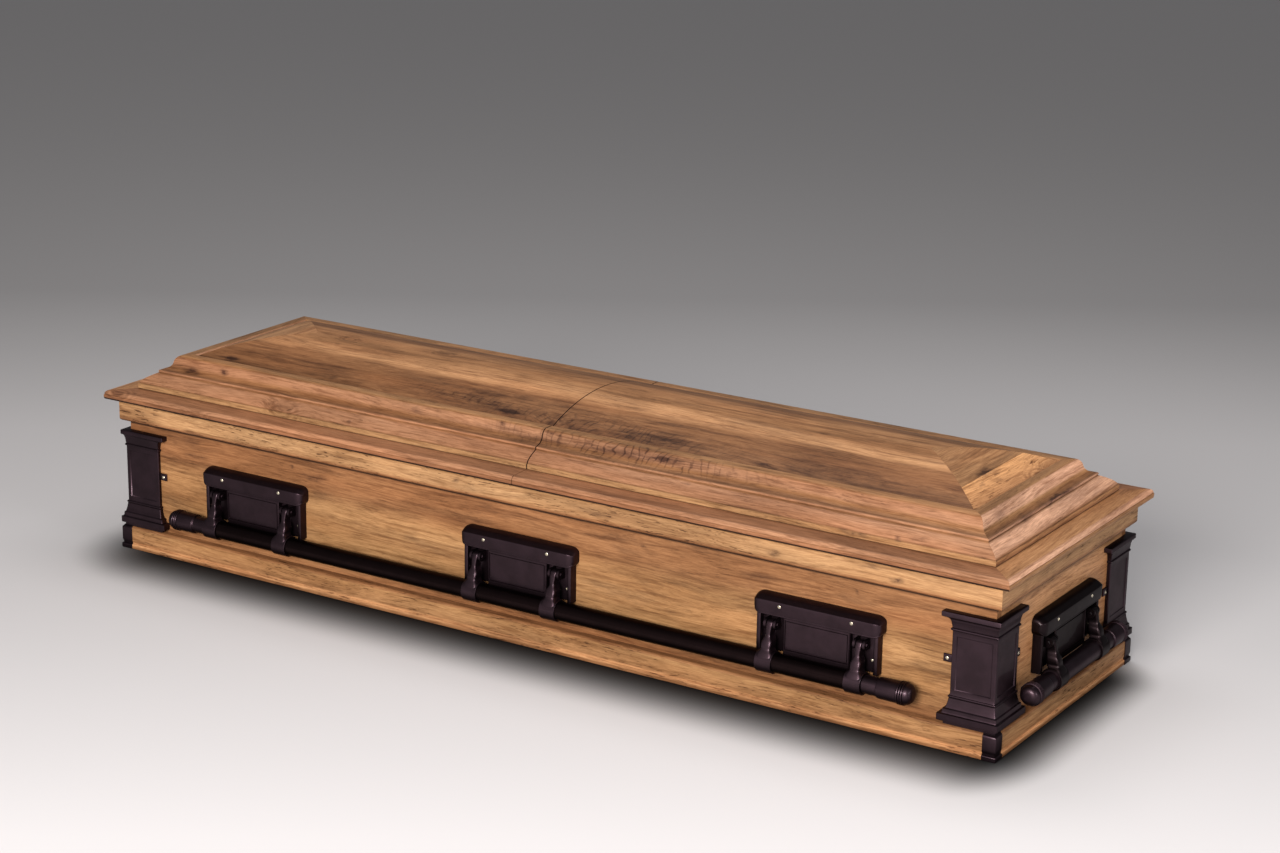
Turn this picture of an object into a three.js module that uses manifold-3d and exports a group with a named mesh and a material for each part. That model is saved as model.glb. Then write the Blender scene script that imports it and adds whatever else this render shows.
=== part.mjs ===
// A full-size wooden coffin with a domed lid in two leaves, metal corner posts and swing-bar handles.
// Millimetres, +Z up. The origin is on the floor under the middle of the box, +X runs to the foot end
// and the front is the -Y side. Every piece is a closed solid of its own.
import * as THREE from 'three';
import { mergeVertices } from 'three/addons/utils/BufferGeometryUtils.js';
import Module from 'manifold-3d';

const wasm = await Module();
wasm.setup();

// Fits
const FIT = 0.3; // gap left between pieces that touch
const MITRE_GAP = 0.22; // what each mitred end is cut short by, along its length
const SEAM = 1.6; // gap between the two leaves of the lid

// Box
const BODY_LENGTH = 2056; // over the end panels
const BODY_WIDTH = 575; // over the side panels
const WALL = 18; // side and end panels
const PANEL_HEIGHT = 286; // side and end panels, bottom edge to top edge
const BOARD = 16; // bottom board

// Base moulding, a mitred frame that the walls stand on
const BASE_HEIGHT = 51;
const BASE_OVERHANG = 19; // ledge outside the walls
const BASE_INSIDE = 14; // how far the frame reaches inside the walls
const BASE_LIP = 11; // height of the rounded lip at the floor
const BASE_EDGE = 5; // rounding of the ledge's edge

// Top moulding, a band round the walls just under the lid
const BAND_HEIGHT = 47;
const BAND_OVERHANG = 16.3;
const BAND_DROP = 2.6; // shadow gap between the band and the lid
const BAND_ROUND = 6;

// Lid
const RIM_OVERHANG = 39; // rim nose outside the walls
const RIM_THICKNESS = 20;
const RIM_WIDTH = 74;
const RIM_NOSE = 9; // width of the rounded nose
const CROWN_INSET = 52.5; // foot of the crown moulding, in from the rim nose
const STEP_HEIGHT = 10.8; // plain step at the foot of the crown
const STEP_TREAD = 2; // ledge between the step and the quarter round
const QUARTER_WIDTH = 29;
const QUARTER_HEIGHT = 21.8;
const BEAD_HEIGHT = 6.2;
const BEAD_TREAD = 1.5; // ledge between the quarter round and the cyma
const CYMA_WIDTH = 33;
const CYMA_HEIGHT = 29.6;
const RIDGE_WIDTH = 22.5; // flat top of the crown, inside the cyma
const CROWN_THICKNESS = 19;
const SHELF = 12; // ledge that carries the domed panel
const PANEL_STEP = 3.5; // panel edge below the crown's top
const PANEL_THICKNESS = 10;
const DOME_RISE = 41.5;

// Corner posts
const POST_REACH = 82; // how far each leg covers the wall from the corner
const POST_DEPTH = 8; // how far the shaft stands out of the wall
const CAP_GAP = 21; // between the cap and the top moulding
const CAP_HEIGHT = 37; // cap and neck, above the shaft
const SHAFT_BOTTOM = 108;
const CAP_DEPTH = 16.5;
const FLARE_DEPTH = 20;
const FLARE_REACH = 20; // the cap and the flare reach this much further along the wall than the shaft
const RECESS_DEPTH = 1.4; // sunk field on each face of the shaft
const RECESS_BORDER = 9;
const TAB_WIDTH = 18; // screw tab at the end of each leg
const TAB_HEIGHT = 15;
const TAB_THICKNESS = 4;
const TAB_CENTRE = 174.5;

// Corner guards on the base moulding
const GUARD_REACH = 27;
const GUARD_THICKNESS = 1.8;
const GUARD_LIP = 4.5; // part that folds over the ledge

// Handles. Depths are measured outwards from the wall.
const PLATE_FROM_END = 353; // centre of the outer plates on a long side, in from the end of the wall
const PLATE_HALF = 128;
const PLATE_BOTTOM = 113;
const PLATE_DEPTH = 20; // lower field
const HOOD_HEIGHT = 36; // the fuller upper part of the plate
const HOOD_DEPTH = 27.5;
const HOOD_BULGE = 7; // how much wider the hood is than the plate, each side
const HOOD_INSET = 9; // front face of the hood inside its back edge
const POCKET_INNER = 70; // pockets that the arms hang in
const POCKET_OUTER = 119;
const POCKET_FLOOR = 8;
const POCKET_HEADROOM = 4; // above the ears
const POCKET_LINTEL = 6; // between the pockets and the hood
const ARM_SPREAD = 94; // arm centre from the plate centre
const ARM_HALF = 7;
const PIVOT_HEIGHT = 170;
const PIVOT_DEPTH = 22;
const PIN_RADIUS = 3;
const PIN_CLEARANCE = 0.5;
const PIN_SIDES = 6;
const EAR_THICKNESS = 5;
const EAR_RADIUS = 10;
const EAR_GAP = 0.6; // between an ear and the arm
const EAR_ROOT = 0.5; // how far an ear is sunk in the pocket floor
const BAR_RADIUS = 19;
const BAR_HEIGHT = 100;
const BAR_DEPTH = 34;
const BAR_SIDES = 12;
const BAR_FIT = 0.4; // between the bar and the arm's foot
const FOOT_HALF = 17.5; // half the width of the arm's foot
const FOOT_WALL = 3.2; // thickness of the foot round the bar
const TIP_LENGTH = 102; // bar end beyond the last arm's foot
const TIP_RADIUS = 22.5;
const NECK_RADIUS = 17.5;
const NECK_LENGTH = 30;
const DOME_LENGTH = 20; // rounded end of the tip

// Heights and half sizes that follow from the sizes above
const WALL_BOTTOM = BASE_HEIGHT + FIT;
const WALL_TOP = WALL_BOTTOM + PANEL_HEIGHT;
const RIM_BOTTOM = WALL_TOP + FIT;
const RIM_TOP = RIM_BOTTOM + RIM_THICKNESS;
const BAND_TOP = RIM_BOTTOM - BAND_DROP;
const BAND_BOTTOM = BAND_TOP - BAND_HEIGHT;
const CAP_TOP = BAND_BOTTOM - CAP_GAP;
const SHAFT_TOP = CAP_TOP - CAP_HEIGHT;
const WALL_HALF = { length: BODY_LENGTH / 2, width: BODY_WIDTH / 2 };
const RIM_HALF = grown(WALL_HALF, RIM_OVERHANG);
const BASE_HALF = grown(WALL_HALF, BASE_OVERHANG);
const BAND_HALF = grown(WALL_HALF, BAND_OVERHANG);
const QUARTER_TOP = STEP_HEIGHT + QUARTER_HEIGHT;
const BEAD_TOP = QUARTER_TOP + BEAD_HEIGHT;
const CROWN_HEIGHT = BEAD_TOP + CYMA_HEIGHT;
const POCKET_TOP = PIVOT_HEIGHT + EAR_RADIUS + POCKET_HEADROOM;
const HOOD_BOTTOM = POCKET_TOP + POCKET_LINTEL;
const PLATE_TOP = HOOD_BOTTOM + HOOD_HEIGHT;
const PLATE_SPACING = WALL_HALF.length - PLATE_FROM_END;
const CROWN_WIDTH = STEP_TREAD + QUARTER_WIDTH + BEAD_TREAD + CYMA_WIDTH + RIDGE_WIDTH;
const PANEL_INSET = CROWN_INSET + CROWN_WIDTH + FIT;
const PANEL_EDGE = RIM_TOP + CROWN_HEIGHT - PANEL_STEP;

// Materials
const finish = (color, roughness, metalness = 0) => () =>
  new THREE.MeshStandardMaterial({ color, roughness, metalness });
const WOOD_PANEL = finish(0xb98a5c, 0.6);
const WOOD_PALE = finish(0xcda26b, 0.6);
const WOOD_RIM = finish(0xa9704f, 0.58);
const WOOD_CROWN = finish(0xbf8d6c, 0.58);
const WOOD_INSIDE = finish(0xc9ab80, 0.8);
const CASTING = finish(0x3a2a33, 0.35, 0.6);
const BAR_METAL = finish(0x1d1213, 0.4, 0.4);

function grown(half, by) {
  return { length: half.length + by, width: half.width + by };
}

// Geometry helpers

// Twice the signed area of a flat outline.
function signedArea(outline) {
  return outline.reduce((sum, a, i) => {
    const b = outline[(i + 1) % outline.length];
    return sum + a.x * b.y - b.x * a.y;
  }, 0);
}

// Triangles that close a flat ring, wound the way the ring runs.
function capTriangles(ring) {
  const normal = new THREE.Vector3();
  ring.forEach((a, i) => normal.add(a.clone().cross(ring[(i + 1) % ring.length])));
  const size = [Math.abs(normal.x), Math.abs(normal.y), Math.abs(normal.z)];
  const drop = size.indexOf(Math.max(...size));
  const keep = [0, 1, 2].filter((axis) => axis !== drop);
  const flat = ring.map((p) => new THREE.Vector2(p.getComponent(keep[0]), p.getComponent(keep[1])));
  const sense = Math.sign(signedArea(flat));
  return THREE.ShapeUtils.triangulateShape(flat, []).map((t) => {
    const turn = Math.sign(signedArea(t.map((i) => flat[i])));
    return turn === sense ? t : [t[0], t[2], t[1]];
  });
}

// A closed solid through a row of rings that all have the same number of points.
function loft(rings) {
  const count = rings[0].length;
  const points = rings.flat();
  const faces = [];
  for (let i = 0; i + 1 < rings.length; i += 1) {
    for (let k = 0; k < count; k += 1) {
      const a = i * count + k;
      const b = i * count + ((k + 1) % count);
      faces.push([a, b, b + count], [a, b + count, a + count]);
    }
  }
  const last = (rings.length - 1) * count;
  capTriangles(rings[0]).forEach((t) => faces.push([t[0], t[2], t[1]]));
  capTriangles(rings.at(-1)).forEach((t) => faces.push(t.map((i) => i + last)));
  const volume = faces.reduce((sum, [a, b, c]) => {
    return sum + points[a].dot(points[b].clone().cross(points[c]));
  }, 0);
  const outward = volume > 0 ? faces : faces.map(([a, b, c]) => [a, c, b]);
  const geometry = new THREE.BufferGeometry().setFromPoints(points);
  geometry.setIndex(outward.flat());
  return geometry;
}

// Points of a curve that bends from one point to another round a control point.
function bend(from, control, to, steps) {
  const curve = new THREE.QuadraticBezierCurve(...[from, control, to].map((p) => new THREE.Vector2(...p)));
  return curve.getPoints(steps).map((p) => [p.x, p.y]);
}

// Points of an arc, angles in degrees.
function arc(cx, cy, radius, from, to, steps) {
  return Array.from({ length: steps + 1 }, (_, i) => {
    const angle = THREE.MathUtils.degToRad(from + ((to - from) * i) / steps);
    return [cx + radius * Math.cos(angle), cy + radius * Math.sin(angle)];
  });
}

function box(low, high) {
  const size = high.map((v, i) => v - low[i]);
  const geometry = new THREE.BoxGeometry(...size);
  return geometry.translate(...low.map((v, i) => v + size[i] / 2));
}

// A round bar along X.
function rod(radius, from, to, sides, y, z) {
  const geometry = new THREE.CylinderGeometry(radius, radius, to - from, sides);
  return geometry.rotateZ(Math.PI / 2).translate((from + to) / 2, y, z);
}

// Joins, cuts and keeps, done on merged closed meshes.
function toSolid(geometry) {
  const bare = geometry.clone();
  bare.deleteAttribute('normal');
  bare.deleteAttribute('uv');
  const merged = mergeVertices(bare, 1e-4);
  const vertProperties = new Float32Array(merged.attributes.position.array);
  const triVerts = new Uint32Array(merged.index.array);
  return new wasm.Manifold(new wasm.Mesh({ numProp: 3, vertProperties, triVerts }));
}

function toGeometry(solid) {
  const mesh = solid.getMesh();
  const geometry = new THREE.BufferGeometry();
  geometry.setAttribute('position', new THREE.BufferAttribute(mesh.vertProperties, 3));
  geometry.setIndex(new THREE.BufferAttribute(mesh.triVerts, 1));
  return geometry;
}

function shaped(start, { join = [], cut = [], keep = [] }) {
  let solid = toSolid(start);
  join.forEach((part) => { solid = solid.add(toSolid(part)); });
  cut.forEach((part) => { solid = solid.subtract(toSolid(part)); });
  keep.forEach((part) => { solid = solid.intersect(toSolid(part)); });
  return toGeometry(solid);
}

function piece(name, geometry, material) {
  geometry.computeVertexNormals();
  const mesh = new THREE.Mesh(geometry, material());
  mesh.name = name;
  return mesh;
}

// Straight lengths of moulding round a rectangle

// A point on one side of a rectangle: s along the side, inset from its outline, and height z.
const SIDES = {
  front: (half, s, inset, z) => new THREE.Vector3(s, inset - half.width, z),
  back: (half, s, inset, z) => new THREE.Vector3(s, half.width - inset, z),
  foot: (half, s, inset, z) => new THREE.Vector3(half.length - inset, s, z),
  head: (half, s, inset, z) => new THREE.Vector3(inset - half.length, s, z),
};

// One length, cut to a mitre at each end, or square at the lid's seam.
function moulding(profile, half, side, { leaf = 0 } = {}) {
  const place = SIDES[side];
  const long = side === 'front' || side === 'back';
  const mitre = (inset) => (long ? half.length : half.width) - inset - MITRE_GAP;
  const square = () => SEAM / 2;
  const low = (inset) => (leaf > 0 ? square() : -mitre(inset));
  const high = (inset) => (leaf < 0 ? -square() : mitre(inset));
  return loft([low, high].map((end) => profile.map(([inset, z]) => place(half, end(inset), inset, z))));
}

// Section of the base frame, from its outline inwards.
function baseProfile() {
  const face = 1.4;
  const depth = BASE_OVERHANG + WALL + BASE_INSIDE;
  return [
    [1.2, 0],
    [0, 2],
    [0, BASE_LIP - 2],
    [1, BASE_LIP],
    [face + 1.6, BASE_LIP + 2],
    [face, BASE_LIP + 11],
    ...arc(face + BASE_EDGE, BASE_HEIGHT - BASE_EDGE, BASE_EDGE, 180, 90, 2),
    [depth, BASE_HEIGHT],
    [depth, 0],
  ];
}

function baseMoulding() {
  const profile = baseProfile();
  const corners = [[-1, -1], [1, -1], [1, 1], [-1, 1], [-1, -1]];
  const rings = corners.map(([sx, sy]) => profile.map(([inset, z]) => {
    return new THREE.Vector3(sx * (BASE_HALF.length - inset), sy * (BASE_HALF.width - inset), z);
  }));
  const sides = rings.slice(1).map((ring, i) => loft([rings[i], ring]));
  return shaped(sides[0], { join: sides.slice(1) });
}

function bandProfile() {
  const depth = BAND_OVERHANG - FIT;
  return [
    ...arc(BAND_ROUND, BAND_BOTTOM + BAND_ROUND, BAND_ROUND, 270, 180, 2),
    [0, BAND_TOP - 2],
    [2, BAND_TOP],
    [depth, BAND_TOP],
    [depth, BAND_BOTTOM],
  ];
}

function rimProfile() {
  return [
    [2, RIM_BOTTOM],
    [0.6, RIM_BOTTOM + 3],
    [0, RIM_BOTTOM + 7.5],
    ...bend([1.2, RIM_BOTTOM + 11.5], [3.5, RIM_TOP - 2], [RIM_NOSE, RIM_TOP - 1.4], 3),
    [CROWN_INSET - 6, RIM_TOP],
    [RIM_WIDTH, RIM_TOP],
    [RIM_WIDTH, RIM_BOTTOM],
  ];
}

// Section of the crown: step, quarter round, bead, cyma, flat ridge and the shelf for the panel.
function crownProfile() {
  const bead = STEP_TREAD + QUARTER_WIDTH;
  const cyma = bead + BEAD_TREAD;
  const ridge = cyma + CYMA_WIDTH;
  const inner = CROWN_WIDTH;
  const shelf = CROWN_HEIGHT - PANEL_STEP - PANEL_THICKNESS - FIT;
  const hollow = [cyma + CYMA_WIDTH * 0.64, BEAD_TOP + CYMA_HEIGHT * 0.45];
  const outline = [
    [0, FIT],
    [0, STEP_HEIGHT - 0.9],
    [0.9, STEP_HEIGHT],
    ...bend([STEP_TREAD, STEP_HEIGHT], [STEP_TREAD + 1.5, STEP_HEIGHT + 9], [bead, QUARTER_TOP], 5),
    [bead + 1, QUARTER_TOP],
    [bead + 1, BEAD_TOP - 0.8],
    ...bend([cyma, BEAD_TOP], [cyma + CYMA_WIDTH * 0.52, BEAD_TOP + 2], hollow, 3),
    ...bend(hollow, [hollow[0] + 2, CROWN_HEIGHT - 3.5], [ridge, CROWN_HEIGHT], 4).slice(1),
    [inner - 2.5, CROWN_HEIGHT],
    [inner, CROWN_HEIGHT - 2],
    [inner, shelf],
    [inner + SHELF, shelf],
    [inner + SHELF, shelf - CROWN_THICKNESS / 2],
    [inner - 2, shelf - CROWN_THICKNESS / 2],
    [bead + CROWN_THICKNESS, QUARTER_TOP - CROWN_THICKNESS / 2],
    [RIM_WIDTH - CROWN_INSET - 2, FIT],
  ];
  return outline.map(([across, up]) => [CROWN_INSET + across, RIM_TOP + up]);
}

// The domed panel of one leaf

// Rise of the dome at a distance in from its edge, an arc of a circle over the panel's width.
function domeArc(steps) {
  const half = RIM_HALF.width - PANEL_INSET;
  const radius = (DOME_RISE ** 2 + half ** 2) / (2 * DOME_RISE);
  const sweep = THREE.MathUtils.radToDeg(Math.asin(half / radius));
  return arc(half, DOME_RISE - radius, radius, 90 + sweep, 90, steps);
}

// Everything under the dome at a given drop below its surface: the long arc cut by the hipped end.
function domeBlock(drop, leaf) {
  const steps = 9;
  const half = { length: RIM_HALF.length - PANEL_INSET, width: RIM_HALF.width - PANEL_INSET };
  const floor = PANEL_EDGE - PANEL_THICKNESS - drop;
  const rise = domeArc(steps).map(([inset, z]) => [inset, PANEL_EDGE + z - drop]);
  const side = [
    ...rise.map(([inset, z]) => [inset - half.width, z]),
    ...rise.slice(0, -1).reverse().map(([inset, z]) => [half.width - inset, z]),
  ];
  const along = [-half.length - 1, half.length + 1];
  const hull = loft(along.map((x) => [
    new THREE.Vector3(x, -half.width, floor),
    ...side.map(([y, z]) => new THREE.Vector3(x, y, z)),
    new THREE.Vector3(x, half.width, floor),
  ]));
  const near = leaf * (SEAM / 2);
  const hip = loft([-half.width - 1, half.width + 1].map((y) => [
    new THREE.Vector3(leaf * half.length, y, floor),
    ...rise.map(([inset, z]) => new THREE.Vector3(leaf * (half.length - inset), y, z)),
    new THREE.Vector3(near, y, rise.at(-1)[1]),
    new THREE.Vector3(near, y, floor),
  ]));
  return shaped(hull, { keep: [hip] });
}

function domedPanel(leaf) {
  return shaped(domeBlock(0, leaf), { cut: [domeBlock(PANEL_THICKNESS, leaf)] });
}

// Metal corners. Both are made at a corner of the walls, standing outwards to +X and -Y.

// L-shaped ring that wraps a corner, between two distances out from the wall.
function cornerRing(z, inner, outer, reach) {
  return [
    [-reach, -inner], [inner, -inner], [inner, reach], [outer, reach], [outer, -outer], [-reach, -outer],
  ].map(([x, y]) => new THREE.Vector3(x, y, z));
}

// Levels of the post, each as height, how far it stands out and how far it reaches past the shaft.
function postLevels() {
  const body = POST_DEPTH;
  const bead = body + 2.6;
  const foot = WALL_BOTTOM;
  return [
    [foot, 14, 9],
    [foot + 5.7, 14, 9],
    [foot + 7.7, FLARE_DEPTH, FLARE_REACH],
    [foot + 20.7, FLARE_DEPTH, FLARE_REACH],
    [foot + 22.7, 16, 12],
    [foot + 29.7, 15.4, 11],
    [foot + 31.7, body + 4, 6],
    [SHAFT_BOTTOM - 6, bead, 3],
    [SHAFT_BOTTOM - 1.5, bead, 3],
    [SHAFT_BOTTOM, body, 0],
    [SHAFT_TOP, body, 0],
    [SHAFT_TOP + 1.5, bead, 3],
    [SHAFT_TOP + 6, bead, 3],
    [CAP_TOP - 19, body + 2.4, 4],
    [CAP_TOP - 10, CAP_DEPTH, FLARE_REACH],
    [CAP_TOP - 1.5, CAP_DEPTH, FLARE_REACH],
    [CAP_TOP, CAP_DEPTH - 1.5, FLARE_REACH - 1.5],
  ];
}

function cornerPost() {
  const shell = loft(postLevels().map(([z, depth, extra]) => {
    return cornerRing(z, FIT, depth, POST_REACH + extra);
  }));
  const out = POST_DEPTH + 1;
  const sunk = POST_DEPTH - RECESS_DEPTH;
  const near = POST_REACH - RECESS_BORDER;
  const far = POST_DEPTH - RECESS_BORDER;
  const low = SHAFT_BOTTOM + RECESS_BORDER;
  const high = SHAFT_TOP - RECESS_BORDER;
  const tabLow = TAB_CENTRE - TAB_HEIGHT / 2;
  const tabHigh = TAB_CENTRE + TAB_HEIGHT / 2;
  const tabEnd = POST_REACH + TAB_WIDTH;
  return shaped(shell, {
    join: [
      box([-tabEnd, -TAB_THICKNESS, tabLow], [1 - POST_REACH, -FIT, tabHigh]),
      box([FIT, POST_REACH - 1, tabLow], [TAB_THICKNESS, tabEnd, tabHigh]),
    ],
    cut: [
      box([-near, -out, low], [far, -sunk, high]),
      box([sunk, -far, low], [out, near, high]),
    ],
  });
}

// A thin guard that follows the base moulding round its corner and folds over the ledge.
function baseGuard() {
  const profile = baseProfile().filter(([inset]) => inset < BASE_OVERHANG);
  const fold = BASE_HEIGHT + FIT;
  const rings = profile.map(([inset, z]) => {
    const face = BASE_OVERHANG - inset;
    return cornerRing(z, face + FIT, face + GUARD_THICKNESS, GUARD_REACH - BASE_OVERHANG);
  });
  const lip = BASE_OVERHANG - GUARD_LIP;
  const outer = BASE_OVERHANG - 3;
  rings.push(cornerRing(fold, lip, outer + GUARD_THICKNESS, GUARD_REACH - BASE_OVERHANG));
  rings.push(cornerRing(fold + GUARD_THICKNESS, lip, outer, GUARD_REACH - BASE_OVERHANG));
  return loft(rings);
}

// Handles. They are made on a wall that faces -Y, with the wall's face at y = 0.

// Section of the plate at one height.
function plateRing(z, half, front, edge, depth) {
  return [
    [-half, -FIT], [-half, -edge], [-front, -depth], [front, -depth], [half, -edge], [half, -FIT],
  ].map(([x, y]) => new THREE.Vector3(x, y, z));
}

function handlePlate() {
  const half = PLATE_HALF;
  const wide = PLATE_HALF + HOOD_BULGE;
  const hood = wide - HOOD_INSET;
  const body = loft([
    plateRing(PLATE_BOTTOM, half - 1, half - 4, 4, 9),
    plateRing(PLATE_BOTTOM + 9, half, half - 3, 12, PLATE_DEPTH),
    plateRing(HOOD_BOTTOM - 3, half, half - 3, 12, PLATE_DEPTH),
    plateRing(HOOD_BOTTOM, wide - 2, hood - 3, 14, HOOD_DEPTH - 1.5),
    plateRing(HOOD_BOTTOM + 12, wide, hood, 15, HOOD_DEPTH),
    plateRing(PLATE_TOP - 11, wide, hood, 15, HOOD_DEPTH - 0.5),
    plateRing(PLATE_TOP - 6, wide - 1, hood - 3, 13, HOOD_DEPTH - 4),
    plateRing(PLATE_TOP, half, half - 8, 5, 8),
  ]);
  const pockets = [-1, 1].map((side) => {
    const [low, high] = [side * POCKET_INNER, side * POCKET_OUTER].sort((a, b) => a - b);
    return box([low, -HOOD_DEPTH - 1, PLATE_BOTTOM - 1], [high, -POCKET_FLOOR, POCKET_TOP]);
  });
  const lugs = [-1, 1].flatMap((side) => pivotLug(side * ARM_SPREAD));
  const open = shaped(body, { cut: pockets });
  return shaped(open, { join: lugs });
}

// Two round-nosed ears that stand on the pocket floor, and the pin between them.
function pivotLug(centre) {
  const inner = ARM_HALF + EAR_GAP;
  const outer = inner + EAR_THICKNESS;
  const root = POCKET_FLOOR - EAR_ROOT;
  const nose = arc(PIVOT_DEPTH, PIVOT_HEIGHT, EAR_RADIUS, -90, 90, 4);
  const outline = [[root, PIVOT_HEIGHT - EAR_RADIUS], ...nose, [root, PIVOT_HEIGHT + EAR_RADIUS]];
  const ears = [[-outer, -inner], [inner, outer]].map((ends) => loft(ends.map((x) => {
    return outline.map(([depth, z]) => new THREE.Vector3(centre + x, -depth, z));
  })));
  const reach = outer - EAR_THICKNESS / 4;
  const pin = rod(PIN_RADIUS, centre - reach, centre + reach, PIN_SIDES, -PIVOT_DEPTH, PIVOT_HEIGHT);
  return [...ears, pin];
}

// Section of the arm at one height: half width, back and front depth.
function armRing(z, half, back, front) {
  return [
    [-half, -back], [-half, -front], [half, -front], [half, -back],
  ].map(([x, y]) => new THREE.Vector3(x, y, z));
}

function handleArm() {
  const sleeve = BAR_RADIUS + FOOT_WALL;
  const foot = BAR_HEIGHT + BAR_RADIUS;
  const drop = PIVOT_HEIGHT - foot;
  const lean = BAR_DEPTH - PIVOT_DEPTH;
  const top = PIVOT_HEIGHT + 9;
  const shank = loft([
    armRing(top, ARM_HALF - 2, PIVOT_DEPTH - 5, PIVOT_DEPTH + 4),
    armRing(top - 4, ARM_HALF, PIVOT_DEPTH - 8, PIVOT_DEPTH + 9),
    armRing(PIVOT_HEIGHT - drop * 0.42, ARM_HALF - 1.5, PIVOT_DEPTH - 5 + lean * 0.2, PIVOT_DEPTH + 16),
    armRing(PIVOT_HEIGHT - drop * 0.55, ARM_HALF + 2.5, PIVOT_DEPTH - 5 + lean * 0.3, PIVOT_DEPTH + 20),
    armRing(foot + 5, ARM_HALF + 5, BAR_DEPTH - 13, BAR_DEPTH + 14),
    armRing(foot - 4, FOOT_HALF - 0.5, BAR_DEPTH - 15, BAR_DEPTH + 18),
    armRing(BAR_HEIGHT, FOOT_HALF - 0.5, BAR_DEPTH - sleeve + 2, BAR_DEPTH + sleeve - 2),
  ]);
  const clasp = rod(sleeve, -FOOT_HALF, FOOT_HALF, BAR_SIDES, -BAR_DEPTH, BAR_HEIGHT);
  const bore = rod(BAR_RADIUS + BAR_FIT, -FOOT_HALF - 1, FOOT_HALF + 1, BAR_SIDES, -BAR_DEPTH, BAR_HEIGHT);
  const eye = rod(PIN_RADIUS + PIN_CLEARANCE, -FOOT_HALF, FOOT_HALF, PIN_SIDES, -PIVOT_DEPTH, PIVOT_HEIGHT);
  return shaped(shank, { join: [clasp], cut: [bore, eye] });
}

// A turned bar with a necked, ringed and rounded tip at each end.
function handleBar(lastArm) {
  const shoulder = lastArm + FOOT_HALF + 1;
  const end = lastArm + FOOT_HALF + TIP_LENGTH;
  const dome = end - DOME_LENGTH;
  const neck = shoulder + NECK_LENGTH;
  const half = [
    [BAR_RADIUS, shoulder],
    [NECK_RADIUS, shoulder + 1.5],
    [NECK_RADIUS, neck],
    [TIP_RADIUS - 2, neck + 3],
    [TIP_RADIUS, dome - 9],
    [TIP_RADIUS, dome],
    ...[35, 65].map((angle) => {
      const turn = THREE.MathUtils.degToRad(angle);
      return [TIP_RADIUS * Math.cos(turn), dome + DOME_LENGTH * Math.sin(turn)];
    }),
    [0, end],
  ].map(([r, x]) => new THREE.Vector2(r, x));
  const other = half.map((p) => new THREE.Vector2(p.x, -p.y)).reverse();
  const geometry = new THREE.LatheGeometry([...other, ...half], BAR_SIDES);
  return geometry.rotateZ(Math.PI / 2).translate(0, -BAR_DEPTH, BAR_HEIGHT);
}

// Assembly

const coffin = new THREE.Group();

function addBox() {
  const { length, width } = WALL_HALF;
  const inner = width - WALL - FIT;
  coffin.add(piece('base_moulding', baseMoulding(), WOOD_PALE));
  coffin.add(piece('bottom_board', box(
    [WALL + FIT - length, -inner, WALL_BOTTOM],
    [length - WALL - FIT, inner, WALL_BOTTOM + BOARD],
  ), WOOD_INSIDE));
  coffin.add(piece('side_panel_front', box(
    [-length, -width, WALL_BOTTOM], [length, WALL - width, WALL_TOP]), WOOD_PANEL));
  coffin.add(piece('side_panel_back', box(
    [-length, width - WALL, WALL_BOTTOM], [length, width, WALL_TOP]), WOOD_PANEL));
  coffin.add(piece('end_panel_head', box(
    [-length, -inner, WALL_BOTTOM], [WALL - length, inner, WALL_TOP]), WOOD_PANEL));
  coffin.add(piece('end_panel_foot', box(
    [length - WALL, -inner, WALL_BOTTOM], [length, inner, WALL_TOP]), WOOD_PANEL));
  Object.keys(SIDES).forEach((side) => {
    coffin.add(piece(`top_moulding_${side}`, moulding(bandProfile(), BAND_HALF, side), WOOD_PALE));
  });
}

function addLeaf(name, leaf) {
  ['front', 'back', name].forEach((side) => {
    const label = side === name ? 'end' : side;
    const cut = side === name ? {} : { leaf };
    const rim = moulding(rimProfile(), RIM_HALF, side, cut);
    const crown = moulding(crownProfile(), RIM_HALF, side, cut);
    coffin.add(piece(`lid_${name}_rim_${label}`, rim, WOOD_RIM));
    coffin.add(piece(`lid_${name}_crown_${label}`, crown, WOOD_CROWN));
  });
  coffin.add(piece(`lid_${name}_panel`, domedPanel(leaf), WOOD_PANEL));
}

function addCorners() {
  const { length, width } = WALL_HALF;
  const corners = [
    ['front_foot', length, -width],
    ['back_foot', length, width],
    ['back_head', -length, width],
    ['front_head', -length, -width],
  ];
  corners.forEach(([name, x, y], turn) => {
    const corner = new THREE.Group();
    corner.position.set(x, y, 0);
    corner.rotation.z = (turn * Math.PI) / 2;
    corner.add(piece(`corner_post_${name}`, cornerPost(), CASTING));
    corner.add(piece(`base_guard_${name}`, baseGuard(), CASTING));
    coffin.add(corner);
  });
}

function addHandle(side, x, y, turn, plates) {
  const handle = new THREE.Group();
  handle.position.set(x, y, 0);
  handle.rotation.z = turn;
  let arm = 1;
  plates.forEach(([label, centre]) => {
    const plate = piece(`handle_plate_${side}${label}`, handlePlate(), CASTING);
    plate.position.x = centre;
    handle.add(plate);
    [-ARM_SPREAD, ARM_SPREAD].forEach((offset) => {
      const swing = piece(`handle_arm_${side}_${arm}`, handleArm(), CASTING);
      swing.position.x = centre + offset;
      handle.add(swing);
      arm += 1;
    });
  });
  const lastArm = plates.at(-1)[1] + ARM_SPREAD;
  handle.add(piece(`handle_bar_${side}`, handleBar(lastArm), BAR_METAL));
  coffin.add(handle);
}

addBox();
addLeaf('head', -1);
addLeaf('foot', 1);
addCorners();

const threePlates = [['_left', -PLATE_SPACING], ['_middle', 0], ['_right', PLATE_SPACING]];
addHandle('front', 0, -WALL_HALF.width, 0, threePlates);
addHandle('back', 0, WALL_HALF.width, Math.PI, threePlates);
addHandle('foot', WALL_HALF.length, 0, Math.PI / 2, [['', 0]]);
addHandle('head', -WALL_HALF.length, 0, -Math.PI / 2, [['', 0]]);

export default coffin;
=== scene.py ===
import math

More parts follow.
